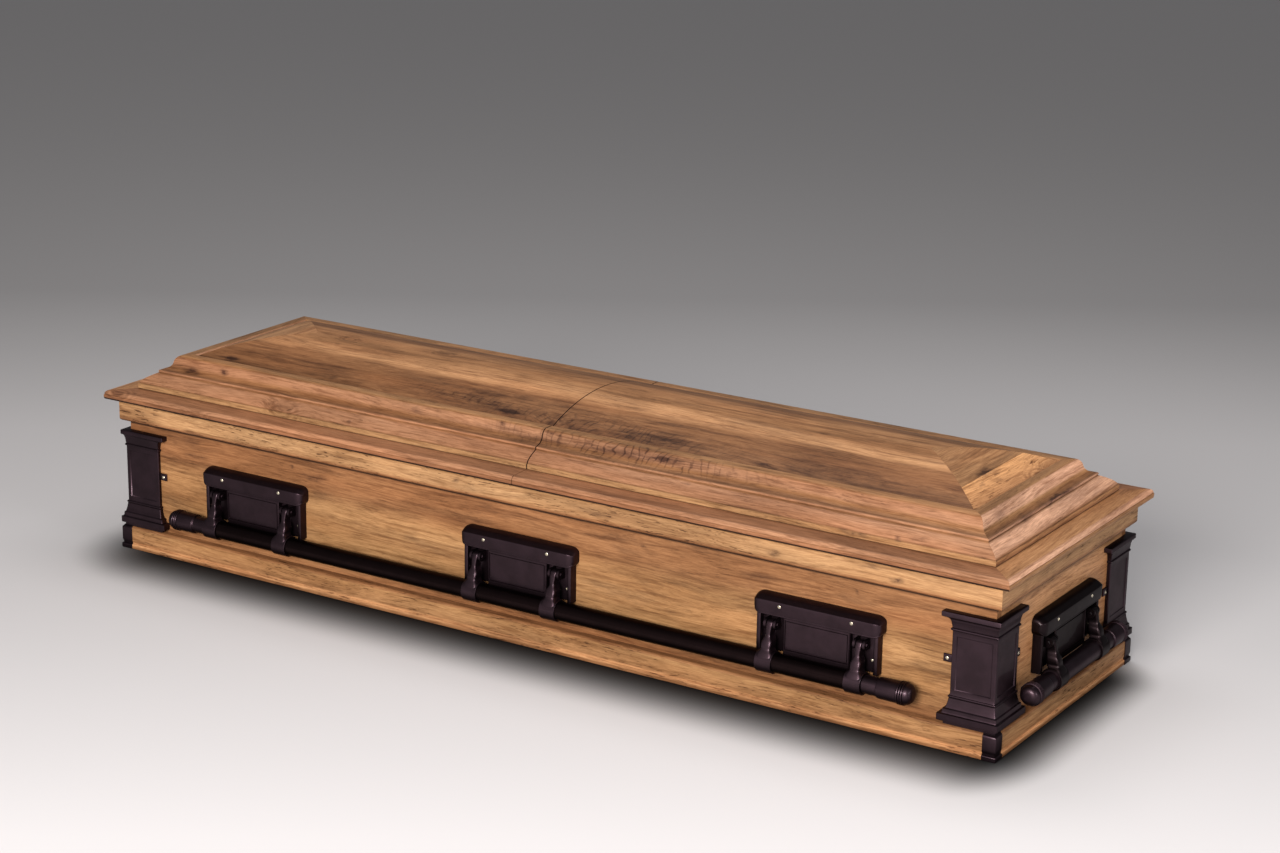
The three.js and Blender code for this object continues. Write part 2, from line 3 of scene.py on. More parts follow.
import bmesh
import bpy
import numpy as np
from mathutils import Matrix, Vector


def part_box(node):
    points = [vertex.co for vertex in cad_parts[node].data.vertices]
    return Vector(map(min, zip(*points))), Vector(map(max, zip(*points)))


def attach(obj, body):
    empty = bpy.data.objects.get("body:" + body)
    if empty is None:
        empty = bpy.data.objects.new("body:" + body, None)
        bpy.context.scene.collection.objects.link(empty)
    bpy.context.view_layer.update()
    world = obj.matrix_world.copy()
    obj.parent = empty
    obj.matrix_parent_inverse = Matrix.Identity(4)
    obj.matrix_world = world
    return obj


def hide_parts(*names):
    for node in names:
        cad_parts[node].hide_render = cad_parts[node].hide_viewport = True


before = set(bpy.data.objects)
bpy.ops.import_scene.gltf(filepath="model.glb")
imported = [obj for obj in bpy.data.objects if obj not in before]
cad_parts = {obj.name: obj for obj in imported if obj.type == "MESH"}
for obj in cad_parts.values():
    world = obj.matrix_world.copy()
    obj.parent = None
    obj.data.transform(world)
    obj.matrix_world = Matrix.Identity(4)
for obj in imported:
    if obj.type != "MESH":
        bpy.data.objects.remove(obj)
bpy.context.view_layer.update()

# A full-size wooden coffin. Shapes are worked out in millimetres and made into meshes in metres.
# +X is the foot end, the front is -Y and +Z is up.
MM = 0.001


def low(node):
    """Lowest corner of a frame node, in millimetres."""
    return np.array(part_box(node)[0]) / MM


def high(node):
    """Highest corner of a frame node, in millimetres."""
    return np.array(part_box(node)[1]) / MM


# Sizes read from the frame
WALL_X = high("end_panel_foot")[0]
WALL_Y = high("side_panel_back")[1]
WALL_BOTTOM = low("side_panel_front")[2]
BASE_X, BASE_Y, BASE_HEIGHT = high("base_moulding")
BAND_X = high("top_moulding_foot")[0]
BAND_Y = high("top_moulding_back")[1]
BAND_BOTTOM = low("top_moulding_front")[2]
BAND_TOP = high("top_moulding_front")[2]
RIM_X = high("lid_foot_rim_end")[0]
RIM_Y = high("lid_foot_rim_back")[1]
RIM_BOTTOM = low("lid_foot_rim_front")[2]
RIM_TOP = high("lid_foot_rim_front")[2]
RIM_WIDTH = RIM_Y + high("lid_foot_rim_front")[1]
CROWN_TOP = high("lid_foot_crown_front")[2]
CROWN_INSET = RIM_X - high("lid_foot_crown_end")[0]
SEAM = 2 * low("lid_foot_panel")[0]
PANEL_INSET = RIM_X - high("lid_foot_panel")[0]
DOME_TOP = high("lid_foot_panel")[2]
CAP_TOP = high("corner_post_front_foot")[2]
PLATE_BOTTOM = low("handle_plate_foot")[2]
PLATE_TOP = high("handle_plate_foot")[2]
PLATE_WIDE = high("handle_plate_foot")[1]
BAR_HEIGHT = (low("handle_bar_foot")[2] + high("handle_bar_foot")[2]) / 2
TIP_RADIUS = (high("handle_bar_foot")[2] - low("handle_bar_foot")[2]) / 2
BAR_DEPTH = high("handle_bar_foot")[0] - TIP_RADIUS - WALL_X
PLATE_SPACING = (low("handle_plate_front_right")[0] + high("handle_plate_front_right")[0]) / 2

# Joinery
FIT = 0.3
MITRE_GAP = 0.3
BASE_DEPTH = 51
BASE_LIP = 11  # height of the rounded lip at the floor
BASE_EDGE = 5
BAND_ROUND = 6

# Crown moulding, from its foot up
STEP_HEIGHT = 10.8
QUARTER_WIDTH, QUARTER_HEIGHT = 29, 21.8
BEAD_HEIGHT = 6.2
CYMA_WIDTH = 33
CROWN_WIDTH = 88
CROWN_THICKNESS = 19
PANEL_STEP = 3.5
PANEL_THICKNESS = 10
SHELF = 12
HIP_BOARD = 54  # width of the outer board of the hipped end, along the slope's plan

# Corner posts
POST_REACH = 82
POST_DEPTH = 8
SHAFT_TOP, SHAFT_BOTTOM = 230, 108
FLARE = 20
RECESS = 1.5
BORDER = 9
TAB_CENTRE, TAB_HEIGHT, TAB_WIDTH, TAB_THICKNESS = 174.5, 15, 18, 4
GUARD_REACH, GUARD_THICKNESS, GUARD_LIP = 27, 1.8, 4.5

# Handles, with depths measured outwards from the wall
PLATE_HALF = 128
PLATE_DEPTH = 20
PAN_DEPTH = 8
HOOD_BOTTOM, HOOD_DEPTH = 187, 27.3
HOOD_CORNER, HOOD_MIDDLE = 17, 207
BLOCK_HALF = 70
FIELD_HALF = 66
FIELD_LOW, FIELD_HIGH = 124, 181
POCKET_OUTER = 119
ARM_SPREAD = 94
ARM_HALF = 7
PIVOT_HEIGHT, PIVOT_DEPTH = 170, 22
EAR_GAP, EAR_THICKNESS, EAR_RADIUS = 0.6, 5, 10
BAR_RADIUS = 19
FOOT_HALF, FOOT_WALL = 17.5, 3.2
TIP_LENGTH = 102
NECK_RADIUS, NECK_LENGTH = 17.5, 30
DOME_LENGTH = 15
RING_SPACING = 4.6
SCREW_RADIUS, LOW_SCREW_RADIUS = 3.3, 2.6
HOOD_SCREW, HOOD_SCREW_HEIGHT = 76, 208  # screws on the hood, from the plate's centre and the floor
LOW_SCREW, LOW_SCREW_HEIGHT = 112, 138

LONG_SIDES = ("front", "back")
SIDE_TURN = {"front": 0.0, "foot": math.pi / 2, "back": math.pi, "head": -math.pi / 2}
CORNERS = {"front_foot": (1, -1), "back_foot": (1, 1), "back_head": (-1, 1), "front_head": (-1, -1)}


# Curves of a section, as rows of two numbers

def arc(cx, cz, radius, start, end, steps=8):
    """Points on a circle from one angle to another, in degrees."""
    t = np.radians(np.linspace(start, end, steps + 1))
    return np.stack([cx + radius * np.cos(t), cz + radius * np.sin(t)], axis=1)


def bend(start, control, end, steps=10):
    """Quadratic curve: start (1-t)^2 + 2 control t(1-t) + end t^2."""
    t = np.linspace(0, 1, steps + 1)[:, None]
    a, b, c = (np.array(p, float) for p in (start, control, end))
    return a * (1 - t) ** 2 + 2 * b * t * (1 - t) + c * t ** 2


def chain(*parts):
    """Joins stretches of a section and drops points that repeat."""
    points = np.vstack([np.atleast_2d(np.array(p, float)) for p in parts])
    keep = np.ones(len(points), bool)
    keep[1:] = np.linalg.norm(np.diff(points, axis=0), axis=1) > 1e-3
    return points[keep]


def smooth(t):
    """0 to 1 with level ends: t^2 (3 - 2t)."""
    t = np.clip(t, 0, 1)
    return t * t * (3 - 2 * t)


def through(x, rows):
    """Value at x on a smooth curve through rows of (x, value, ...): cubic pieces with shared slopes."""
    rows = np.array(rows, float)
    at, values = rows[:, 0], rows[:, 1:]
    slopes = np.gradient(values, at, axis=0)
    k = np.clip(np.searchsorted(at, x, side="right") - 1, 0, len(at) - 2)
    span = (at[k + 1] - at[k])[:, None]
    t = (x - at[k])[:, None] / span
    return (values[k] * (1 + 2 * t) * (1 - t) ** 2 + span * slopes[k] * t * (1 - t) ** 2
            + values[k + 1] * t * t * (3 - 2 * t) - span * slopes[k + 1] * t * t * (1 - t))


# Shells: a grid of points with rows along the path and columns round the section

def tube(grid, ends="flat"):
    """Closed shell over a grid whose columns close on themselves.

    Its ends are flat faces, or, with ends="strip", quads between the first and the second half of the
    section, or nothing where the end rows shrink to a point.
    """
    rows, cols = grid.shape[:2]
    i = np.arange(rows - 1)[:, None] * cols
    j = np.arange(cols)[None, :]
    k = (j + 1) % cols
    quads = np.stack([i + j, i + k, i + cols + k, i + cols + j], axis=-1).reshape(-1, 4)
    faces = quads.tolist()
    last = (rows - 1) * cols
    if ends == "flat":
        faces.append(list(range(cols))[::-1])
        faces.append([last + n for n in range(cols)])
    if ends == "strip":
        for base in (0, last):
            faces += [[base + n, base + n + 1, base + cols - 2 - n, base + cols - 1 - n]
                      for n in range(cols // 2 - 1)]
    return grid.reshape(-1, 3), faces


def points(a, b, c):
    """Grid of points from three arrays that broadcast together."""
    return np.stack(np.broadcast_arrays(a, b, c), axis=-1).astype(float)


def slab(top, drop):
    """Closed shell between a grid of points and the same grid moved down by drop."""
    under = top - np.array([0, 0, drop])
    return tube(np.concatenate([top, under[:, ::-1]], axis=1), ends="strip")


def relief(xs, zs, depth, back):
    """Block whose face stands at depth(x, z) over the grid of xs and zs, with a flat back."""
    x, z = np.meshgrid(xs, zs, indexing="ij")
    face = points(x, depth(x, z), z)
    rear = points(x, back, z)
    return tube(np.concatenate([face, rear[:, ::-1]], axis=1), ends="strip")


def pad(x0, x1, z0, z1, back, front, edge):
    """Block with its front edges rounded off over a width of edge."""
    inset = np.array([0, 0.12, 0.4, 1.0]) * edge
    xs = np.concatenate([x0 + inset, x1 - inset[::-1]])
    zs = np.concatenate([z0 + inset, z1 - inset[::-1]])

    def depth(x, z):
        near = np.minimum(np.minimum(x - x0, x1 - x), np.minimum(z - z0, z1 - z))
        t = np.clip(1 - near / edge, 0, 1)
        return front - edge * (1 - np.sqrt(np.clip(1 - t * t, 0, 1))) * 0.9
    return relief(xs, zs, depth, back)


def lathe(profile, x, depth, z, sides=40):
    """Surface of revolution about a line along x: profile rows are (place, radius) and end on the axis."""
    t = np.linspace(0, 2 * math.pi, sides, endpoint=False)[None, :]
    p, r = profile[:, :1], profile[:, 1:]
    return tube(points(x + p, depth + r * np.cos(t), z + r * np.sin(t)), ends="none")


def at_side(side, shells):
    """Turns shells made at a wall, as (x along, depth outwards, z), to that side of the box."""
    turn = SIDE_TURN[side]
    along = np.array([math.cos(turn), math.sin(turn), 0])
    out = np.array([math.sin(turn), -math.cos(turn), 0])
    reach = WALL_Y if side in LONG_SIDES else WALL_X
    return [(v[:, :1] * along + (v[:, 1:2] + reach) * out + v[:, 2:] * np.array([0, 0, 1]), f)
            for v, f in shells]


def shifted(shells, x):
    """Moves shells along the wall."""
    return [(v + np.array([x, 0, 0]), f) for v, f in shells]


def at_corner(corner, shells):
    """Places shells made as (p, q, z), p outwards from the end and q outwards from the side."""
    sx, sy = CORNERS[corner]
    return [(v * np.array([sx, sy, 1]) + np.array([sx * WALL_X, sy * WALL_Y, 0]), f) for v, f in shells]


def make(name, shells, material, body="root", stands_for=(), crease=32):
    """One piece from closed shells in millimetres. A list of materials gives one to each shell."""
    verts, faces, groups = [], [], []
    start = 0
    for index, (v, f) in enumerate(shells):
        verts.append(v * MM)
        faces += [[n + start for n in face] for face in f]
        groups += [index] * len(f)
        start += len(v)
    mesh = bpy.data.meshes.new(name)
    mesh.from_pydata(np.vstack(verts).tolist(), [], faces)
    several = isinstance(material, list)
    if several:
        mesh.polygons.foreach_set("material_index", groups)
    tidy = bmesh.new()
    tidy.from_mesh(mesh)
    bmesh.ops.remove_doubles(tidy, verts=tidy.verts, dist=1e-6)
    bmesh.ops.recalc_face_normals(tidy, faces=tidy.faces)
    tidy.to_mesh(mesh)
    tidy.free()
    mesh.shade_smooth()
    mesh.set_sharp_from_angle(angle=math.radians(crease))
    for entry in (material if several else [material]):
        mesh.materials.append(entry)
    piece = bpy.data.objects.new(name, mesh)
    bpy.context.scene.collection.objects.link(piece)
    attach(piece, body)
    if stands_for:
        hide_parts(*stands_for)
    return piece


# Node tools

def fill(tree, node, values):
    """Sets a node's inputs, or links them where the value is an output."""
    for key, value in values.items():
        if isinstance(value, bpy.types.NodeSocket):
            tree.links.new(value, node.inputs[key])
        else:
            node.inputs[key].default_value = value
    return node


def put(tree, kind, values=None, **settings):
    """Adds a node, sets its properties and fills its inputs."""
    node = tree.nodes.new(kind)
    for key, value in settings.items():
        setattr(node, key, value)
    return fill(tree, node, values or {})


def calc(tree, operation, a, b=0.0, c=0.0, clamp=False):
    """One Math node."""
    node = put(tree, "ShaderNodeMath", {0: a, 1: b, 2: c}, operation=operation, use_clamp=clamp)
    return node.outputs[0]


def times(tree, *values):
    """Product of all the values."""
    result = values[0]
    for value in values[1:]:
        result = calc(tree, "MULTIPLY", result, value)
    return result


def vector(tree, operation, a, b, output=0):
    """One Vector Math node."""
    return put(tree, "ShaderNodeVectorMath", {0: a, 1: b}, operation=operation).outputs[output]


def length(tree, a):
    """Length of a vector."""
    return put(tree, "ShaderNodeVectorMath", {0: a}, operation="LENGTH").outputs["Value"]


def split(tree, a):
    """The x, y and z of a vector."""
    return put(tree, "ShaderNodeSeparateXYZ", {0: a}).outputs


def ramp(tree, share, stops):
    """Colour at a share, through stops of (place from 0 to 1, colour)."""
    node = put(tree, "ShaderNodeValToRGB", {0: share})
    elements = node.color_ramp.elements
    for at, tone in stops[1:-1]:
        elements.new(at)
    for element, (at, tone) in zip(elements, stops):
        element.position = at
        element.color = tone
    return node.outputs[0]


def noise(tree, place, scale, detail=2.0, roughness=0.5, output=0):
    """Noise on a place that is stretched by scale, in waves per metre along each axis."""
    spread = vector(tree, "MULTIPLY", place, scale)
    return put(tree, "ShaderNodeTexNoise", {"Vector": spread, "Scale": 1.0, "Detail": detail,
                                            "Roughness": roughness}).outputs[output]


def rise(tree, value, start, end, low_value=0.0, high_value=1.0):
    """Smooth step of a value from start to end."""
    return put(tree, "ShaderNodeMapRange", {0: value, 1: start, 2: end, 3: low_value, 4: high_value},
               interpolation_type="SMOOTHSTEP").outputs[0]


def mix(tree, share, a, b, mode="MIX"):
    """Mixes two colours by a share."""
    return put(tree, "ShaderNodeMix", {0: share, 6: a, 7: b}, data_type="RGBA", blend_type=mode).outputs[2]


def group(name, inputs, outputs):
    """A new node group with its sockets: the tree, its input sockets and its output node."""
    tree = bpy.data.node_groups.new(name, "ShaderNodeTree")
    for label, kind in inputs:
        tree.interface.new_socket(label, in_out="INPUT", socket_type="NodeSocket" + kind)
    for label, kind in outputs:
        tree.interface.new_socket(label, in_out="OUTPUT", socket_type="NodeSocket" + kind)
    return tree, tree.nodes.new("NodeGroupInput").outputs, tree.nodes.new("NodeGroupOutput").inputs


def colour(red, green, blue):
    """Linear colour from display values out of 255."""
    def linear(c):
        c = c / 255
        return c / 12.92 if c <= 0.04045 else ((c + 0.055) / 1.055) ** 2.4
    return (linear(red), linear(green), linear(blue), 1.0)


def tint(tree, body, *layers):
    """Multiplies a colour by each layer's factor, by its share."""
    for share, factor in layers:
        body = mix(tree, share, body, (*factor, 1.0), "MULTIPLY")
    return body


GAIN = 1.5  # brings the tone back up after the layers that darken it


def timber_group():
    """Weathered board: a tone varied by bands, streaks and fibres along x that bend round knots.

    Flecks are short dark dashes, saw marks are thin arcs across the grain, and marks are stains.
    """
    tree, source, out = group(
        "Timber",
        [("Place", "Vector"), ("Tone", "Color"), ("Bands", "Float"), ("Streaks", "Float"),
         ("Smears", "Float"), ("Flecks", "Float"), ("Knots", "Float"), ("Saw", "Float"), ("Marks", "Float")],
        [("Color", "Color"), ("Roughness", "Float"), ("Height", "Float")],
    )
    place = source["Place"]
    drift = vector(tree, "SUBTRACT", noise(tree, place, (1.6, 6.0, 6.0), 2.0, output=1), (0.5, 0.5, 0.5))
    wander = vector(tree, "ADD", place, vector(tree, "MULTIPLY", drift, (0.0, 0.06, 0.06)))

    # Knots: at most one to a cell, its size picked from the cell's colour
    cells = (4.6, 9.0, 9.0)
    cell = put(tree, "ShaderNodeTexVoronoi", {"Vector": vector(tree, "MULTIPLY", wander, cells),
                                              "Scale": 1.0}).outputs
    centre = vector(tree, "DIVIDE", cell["Position"], cells)
    away = length(tree, vector(tree, "MULTIPLY", vector(tree, "SUBTRACT", centre, wander), (0.7, 1, 1)))
    pick = put(tree, "ShaderNodeSeparateColor", {0: cell["Color"]}).outputs
    chosen = calc(tree, "LESS_THAN", pick[0], source["Knots"])
    near = calc(tree, "DIVIDE", away, calc(tree, "MULTIPLY_ADD", pick[1], 0.009, 0.0055))
    halo = times(tree, chosen, rise(tree, near, 0.0, 4.0, 1.0, 0.0))
    core = times(tree, chosen, rise(tree, near, 0.4, 1.2, 1.0, 0.0))
    push = times(tree, halo, 0.018)
    bent = vector(tree, "ADD", wander, put(tree, "ShaderNodeCombineXYZ", {1: push, 2: push}).outputs[0])

    bands = noise(tree, bent, (1.1, 12.0, 12.0), 3.0, 0.55)
    hue = noise(tree, bent, (1.7, 15.0, 15.0), 2.0, 0.5)
    streaks = noise(tree, bent, (3.2, 58.0, 58.0), 6.0, 0.72)
    veins = noise(tree, bent, (9.0, 190.0, 190.0), 4.0, 0.66)
    fibres = noise(tree, bent, (30.0, 520.0, 520.0), 3.0, 0.7)
    smears = noise(tree, bent, (4.6, 24.0, 24.0), 6.0, 0.7)
    dashes = noise(tree, bent, (34.0, 330.0, 330.0), 2.0, 0.72)
    patches = noise(tree, place, (4.0, 14.0, 14.0), 3.0, 0.6)

    body = tint(
        tree, source["Tone"],
        (times(tree, rise(tree, bands, 0.36, 0.66), source["Bands"]), (0.54, 0.47, 0.41)),
        (rise(tree, hue, 0.42, 0.66, 0.0, 0.7), (0.99, 0.91, 0.86)),
        (times(tree, rise(tree, streaks, 0.46, 0.68), source["Streaks"]), (0.34, 0.27, 0.23)),
        (rise(tree, veins, 0.48, 0.68, 0.0, 0.75), (0.55, 0.47, 0.41)),
        (times(tree, rise(tree, smears, 0.5, 0.72), source["Smears"]), (0.34, 0.34, 0.40)),
        (rise(tree, patches, 0.42, 0.62, 0.0, 0.7), (0.70, 0.68, 0.66)),
        (rise(tree, fibres, 0.3, 0.7), (0.70, 0.66, 0.62)),
        (1.0, (GAIN, GAIN, GAIN)),
    )

    # Saw marks: waves along the grain, leaning over and unevenly spaced, thinned to lines in patches
    x, y, _ = split(tree, place)
    uneven = noise(tree, place, (9.0, 12.0, 12.0), 3.0)
    lean = calc(tree, "MULTIPLY_ADD", y, -0.3, calc(tree, "MULTIPLY_ADD", uneven, 0.11, x))
    wave = calc(tree, "SINE", times(tree, lean, 380.0))
    torn = noise(tree, place, (24.0, 40.0, 40.0), 4.0, 0.7)
    saw = times(tree, rise(tree, wave, 0.5, 1.0), rise(tree, torn, 0.36, 0.56), source["Saw"])

    fleck = times(tree, rise(tree, dashes, 0.57, 0.66), rise(tree, patches, 0.4, 0.56), source["Flecks"])
    rings = calc(tree, "MULTIPLY_ADD", calc(tree, "SINE", times(tree, near, 8.0)), 0.34, 0.36)
    worn = calc(tree, "MULTIPLY_ADD", streaks, 0.5, times(tree, torn, 0.5))
    ragged = calc(tree, "MULTIPLY", source["Marks"], rise(tree, worn, 0.36, 0.6, 0.2, 1.4), clamp=True)
    body = tint(
        tree, body,
        (saw, (0.26, 0.21, 0.22)),
        (fleck, (0.25, 0.19, 0.16)),
        (times(tree, halo, rings), (0.34, 0.26, 0.22)),
        (core, (0.3, 0.24, 0.24)),
        (ragged, (0.42, 0.40, 0.44)),
        (rise(tree, ragged, 0.8, 1.0), (0.6, 0.55, 0.56)),
    )
    tree.links.new(body, out["Color"])
    dark = calc(tree, "MAXIMUM", calc(tree, "MAXIMUM", fleck, core), times(tree, ragged, 0.4))
    tree.links.new(calc(tree, "MULTIPLY_ADD", dark, 0.2, calc(tree, "MULTIPLY_ADD", fibres, 0.2, 0.42)),
                   out["Roughness"])
    level = calc(tree, "MULTIPLY_ADD", veins, -0.5, times(tree, fibres, 0.35))
    tree.links.new(calc(tree, "SUBTRACT", level, calc(tree, "MULTIPLY_ADD", saw, 0.4, dark)), out["Height"])
    return tree


def casting_group():
    """Sprayed casting: its two colours in a faint mottle, and a fine grainy surface."""
    tree, source, out = group(
        "Sprayed casting",
        [("Place", "Vector"), ("Face", "Color"), ("Shade", "Color"), ("Rough", "Float"),
         ("Grain", "Float")],
        [("Color", "Color"), ("Roughness", "Float"), ("Height", "Float")],
    )
    mottle = noise(tree, source["Place"], (26.0, 26.0, 26.0), 4.0, 0.6)
    speck = noise(tree, source["Place"], (700.0, 700.0, 700.0), 2.0, 0.6)
    body = mix(tree, rise(tree, mottle, 0.3, 0.7), source["Face"], source["Shade"])
    tree.links.new(body, out["Color"])
    tree.links.new(calc(tree, "MULTIPLY_ADD", mottle, 0.14, source["Rough"]), out["Roughness"])
    tree.links.new(times(tree, speck, source["Grain"]), out["Height"])
    return tree


def mark_group():
    """A soft spot: 1 at its centre, 0 past its half sizes along x, y and z."""
    tree, source, out = group("Mark", [("Place", "Vector"), ("Centre", "Vector"), ("Half", "Vector")],
                              [("Mask", "Float")])
    offset = vector(tree, "SUBTRACT", source["Place"], source["Centre"])
    away = length(tree, vector(tree, "DIVIDE", offset, source["Half"]))
    tree.links.new(rise(tree, away, 0.1, 1.3, 1.0, 0.0), out["Mask"])
    return tree


TIMBER = timber_group()
SPRAYED = casting_group()
MARK = mark_group()
GRAIN_TURN = {"x": 0.0, "y": math.pi / 2}
SEAM_LINE = (0.0008, 0.0018)  # from the middle of the lid, where its dark line starts to fade and ends


def new_material(name):
    """A material with a Principled shader: the material, its tree and the shader."""
    material = bpy.data.materials.new(name)
    material.use_nodes = True
    tree = material.node_tree
    tree.nodes.clear()
    shader = put(tree, "ShaderNodeBsdfPrincipled")
    put(tree, "ShaderNodeOutputMaterial", {"Surface": shader.outputs[0]})
    return material, tree, shader


def dress(tree, shader, parts, bump, distance):
    """Feeds a group's colour, roughness and height to the shader."""
    bumps = {"Strength": bump, "Distance": distance, "Height": parts["Height"]}
    normal = put(tree, "ShaderNodeBump", bumps).outputs[0]
    fill(tree, shader, {"Base Color": parts["Color"], "Roughness": parts["Roughness"], "Normal": normal})


def zoned(tree, place, axis, zones):
    """Tone by the place along one axis, through rows of (millimetres, tone)."""
    first, last = zones[0][0], zones[-1][0]
    at = split(tree, place)["XYZ".index(axis)]
    share = put(tree, "ShaderNodeMapRange", {0: at, 1: first * MM, 2: last * MM}).outputs[0]
    return ramp(tree, share, [((row - first) / (last - first), colour(*tone)) for row, tone in zones])


def stains(tree, place, marks):
    """Placed stains: rows of (x, y, z, half length along x, y, z, strength), in millimetres."""
    warp = vector(tree, "SUBTRACT", noise(tree, place, (22.0, 22.0, 22.0), 3.0, output=1), (0.5, 0.5, 0.5))
    warped = vector(tree, "ADD", place, vector(tree, "MULTIPLY", warp, (0.05, 0.025, 0.025)))
    total = 0.0
    for x, y, z, dx, dy, dz, strength in marks:
        values = {"Place": warped, "Centre": (x * MM, y * MM, z * MM), "Half": (dx * MM, dy * MM, dz * MM)}
        spot = put(tree, "ShaderNodeGroup", values, node_tree=MARK)
        total = calc(tree, "MAXIMUM", total, times(tree, spot.outputs["Mask"], strength))
    return total


def board_start(index):
    """Where a board's pattern starts: steps that never line up with each other."""
    return (0.73 * index % 5.0, 0.41 * index % 3.0, 0.57 * index % 4.0)


def timber(name, zones, index, axis="Z", grain="x", bands=0.5, streaks=0.5, smears=0.3, flecks=0.5,
           knots=0.3, saw=(), marks=(), seam=False):
    """Wood with its grain along x or y; each index moves the pattern, so that a board has its own.

    With seam, a thin dark line is drawn where the two leaves of the lid meet.
    """
    material, tree, shader = new_material(name)
    place = put(tree, "ShaderNodeTexCoord").outputs["Object"]
    laid = {0: place, 1: board_start(index), 2: (0, 0, -GRAIN_TURN[grain])}
    turned = put(tree, "ShaderNodeMapping", laid).outputs[0]
    tone = zoned(tree, place, axis, zones)
    if seam:
        across = calc(tree, "ABSOLUTE", split(tree, place)[0])
        tone = tint(tree, tone, (rise(tree, across, *SEAM_LINE, 1.0, 0.0), (0.12, 0.1, 0.1)))
    values = {"Place": turned, "Tone": tone, "Bands": bands, "Streaks": streaks, "Smears": smears,
              "Flecks": flecks, "Knots": knots, "Saw": stains(tree, place, saw),
              "Marks": stains(tree, place, marks)}
    parts = put(tree, "ShaderNodeGroup", values, node_tree=TIMBER)
    dress(tree, shader, parts.outputs, 0.35, 0.0006)
    fill(tree, shader, {"Specular IOR Level": 0.12, "Coat Weight": 0.04, "Coat Roughness": 0.3})
    return material


def sprayed(name, face, shade, rough=0.34, grain=0.3, coat=0.08):
    """Dark metallic finish."""
    material, tree, shader = new_material(name)
    place = put(tree, "ShaderNodeTexCoord").outputs["Object"]
    values = {"Place": place, "Face": (*face, 1), "Shade": (*shade, 1), "Rough": rough, "Grain": grain}
    parts = put(tree, "ShaderNodeGroup", values, node_tree=SPRAYED)
    dress(tree, shader, parts.outputs, 0.2, 0.0002)
    fill(tree, shader, {"Metallic": 1.0, "Specular Tint": (0.6, 0.6, 0.6, 1), "Coat Weight": coat,
                        "Coat Roughness": 0.07})
    return material


# Wood tones, as display values. Each piece is one of them or runs through a few.
HONEY = (146, 110, 74)
PALE = (153, 118, 83)
TAN = (146, 108, 74)
BROWN = (126, 88, 58)
UMBER = (110, 76, 50)
RUSSET = (131, 90, 63)
STRAW = (172, 128, 90)
LIGHT = (160, 117, 80)
ROSE = (147, 107, 80)
PINK = (172, 131, 106)
BLUSH = (196, 153, 126)
BLOND = (214, 163, 113)
CREAM = (196, 162, 122)
# Near-black rows where parts meet: dark joints and painted shade under the rim, round the band, at the top of
# the panels and at the foot of the crown
JOINT_SHADE = (40, 22, 12)

# Tones by height in millimetres, but those of the domed panel by y and those of the hips by x
# On the base, the pale rows on the rounded lip are a painted highlight and the brown rows under the lip
# painted shade
BASE_TONES = [(0, BROWN), (5, BROWN), (8.5, STRAW), (14, STRAW), (18, TAN), (44, HONEY), (49, BROWN)]
# The near-black row at the top of each panel, under the band, is painted shade
PANEL_TONES = [(51, BROWN), (110, HONEY), (190, HONEY), (225, BROWN), (279, BROWN), (282.5, JOINT_SHADE)]
PANEL_END_TONES = [(51, BROWN), (90, STRAW), (270, STRAW), (283, JOINT_SHADE)]
# On the band, the brown rows on its rounded lower edge are painted shade, and the rows darkening to near
# black at its top and bottom painted shade under the rim and along its lower edge
BAND_TONES = [(288.6, JOINT_SHADE), (292.5, BROWN), (300, PALE), (324, PALE), (328.5, HONEY), (330.5, JOINT_SHADE)]
# On the front rim, the lighter rows over the rounded nose are a painted highlight and the dark row just below
# them painted shade in the crease
RIM_TONES = [
    (340.6, JOINT_SHADE), (342, RUSSET), (347, RUSSET), (347.9, UMBER), (349, ROSE), (355.6, ROSE),
    (356.4, RUSSET), (357.6, RUSSET),
]
# On the end rim, the pink rows over the rounded nose are a painted highlight and the dark row just below them
# painted shade in the crease
RIM_END_TONES = [
    (337.6, JOINT_SHADE), (339, TAN), (347, TAN), (347.8, UMBER), (349, BLUSH), (354, BLUSH), (356.2, PINK),
    (356.45, LIGHT), (357.6, LIGHT),
]
# On the front crown, the dark rows by the step, round the bead and at the foot of the cyma are painted shade
# in its creases
CROWN_TONES = [
    (358, JOINT_SHADE), (359.4, PALE), (368, PALE), (369.4, UMBER), (372, ROSE), (388, ROSE), (390.4, BROWN),
    (391.4, UMBER), (393, ROSE), (395.4, ROSE), (396.8, UMBER), (399, BROWN), (402, BROWN), (410, ROSE),
    (422, ROSE), (424, BROWN), (426, TAN),
]
# On the end crown, the pale and pink rows on the step, the quarter round, the bead and the cyma are painted
# highlights, and the dark rows between them painted shade in the creases
CROWN_END_TONES = [
    (358, JOINT_SHADE), (360, ROSE), (367, STRAW), (368.8, UMBER), (371, ROSE), (377, BLUSH), (388, BLUSH),
    (390.6, UMBER), (392.5, BLUSH), (395, PINK), (396.6, UMBER), (399, BROWN), (403, TAN), (408, BLUSH),
    (421, BLUSH), (425, PINK), (426, TAN),
]
# The pale rows over the top of the domed panel are a painted sheen
DOME_TONES = [
    (-186, UMBER), (-150, BROWN), (-100, BROWN), (-80, STRAW), (-50, STRAW), (-34, LIGHT), (46, LIGHT),
    (68, BROWN), (130, TAN), (186, UMBER),
]
HIP_OUTER_TONES = [(870, BLOND), (926, STRAW)]
HIP_INNER_TONES = [(740, TAN), (800, LIGHT), (872, TAN)]
HEAD_HIP_TONES = [(-926, TAN), (-740, STRAW)]
INSIDE_TONES = [(0, CREAM), (80, CREAM)]

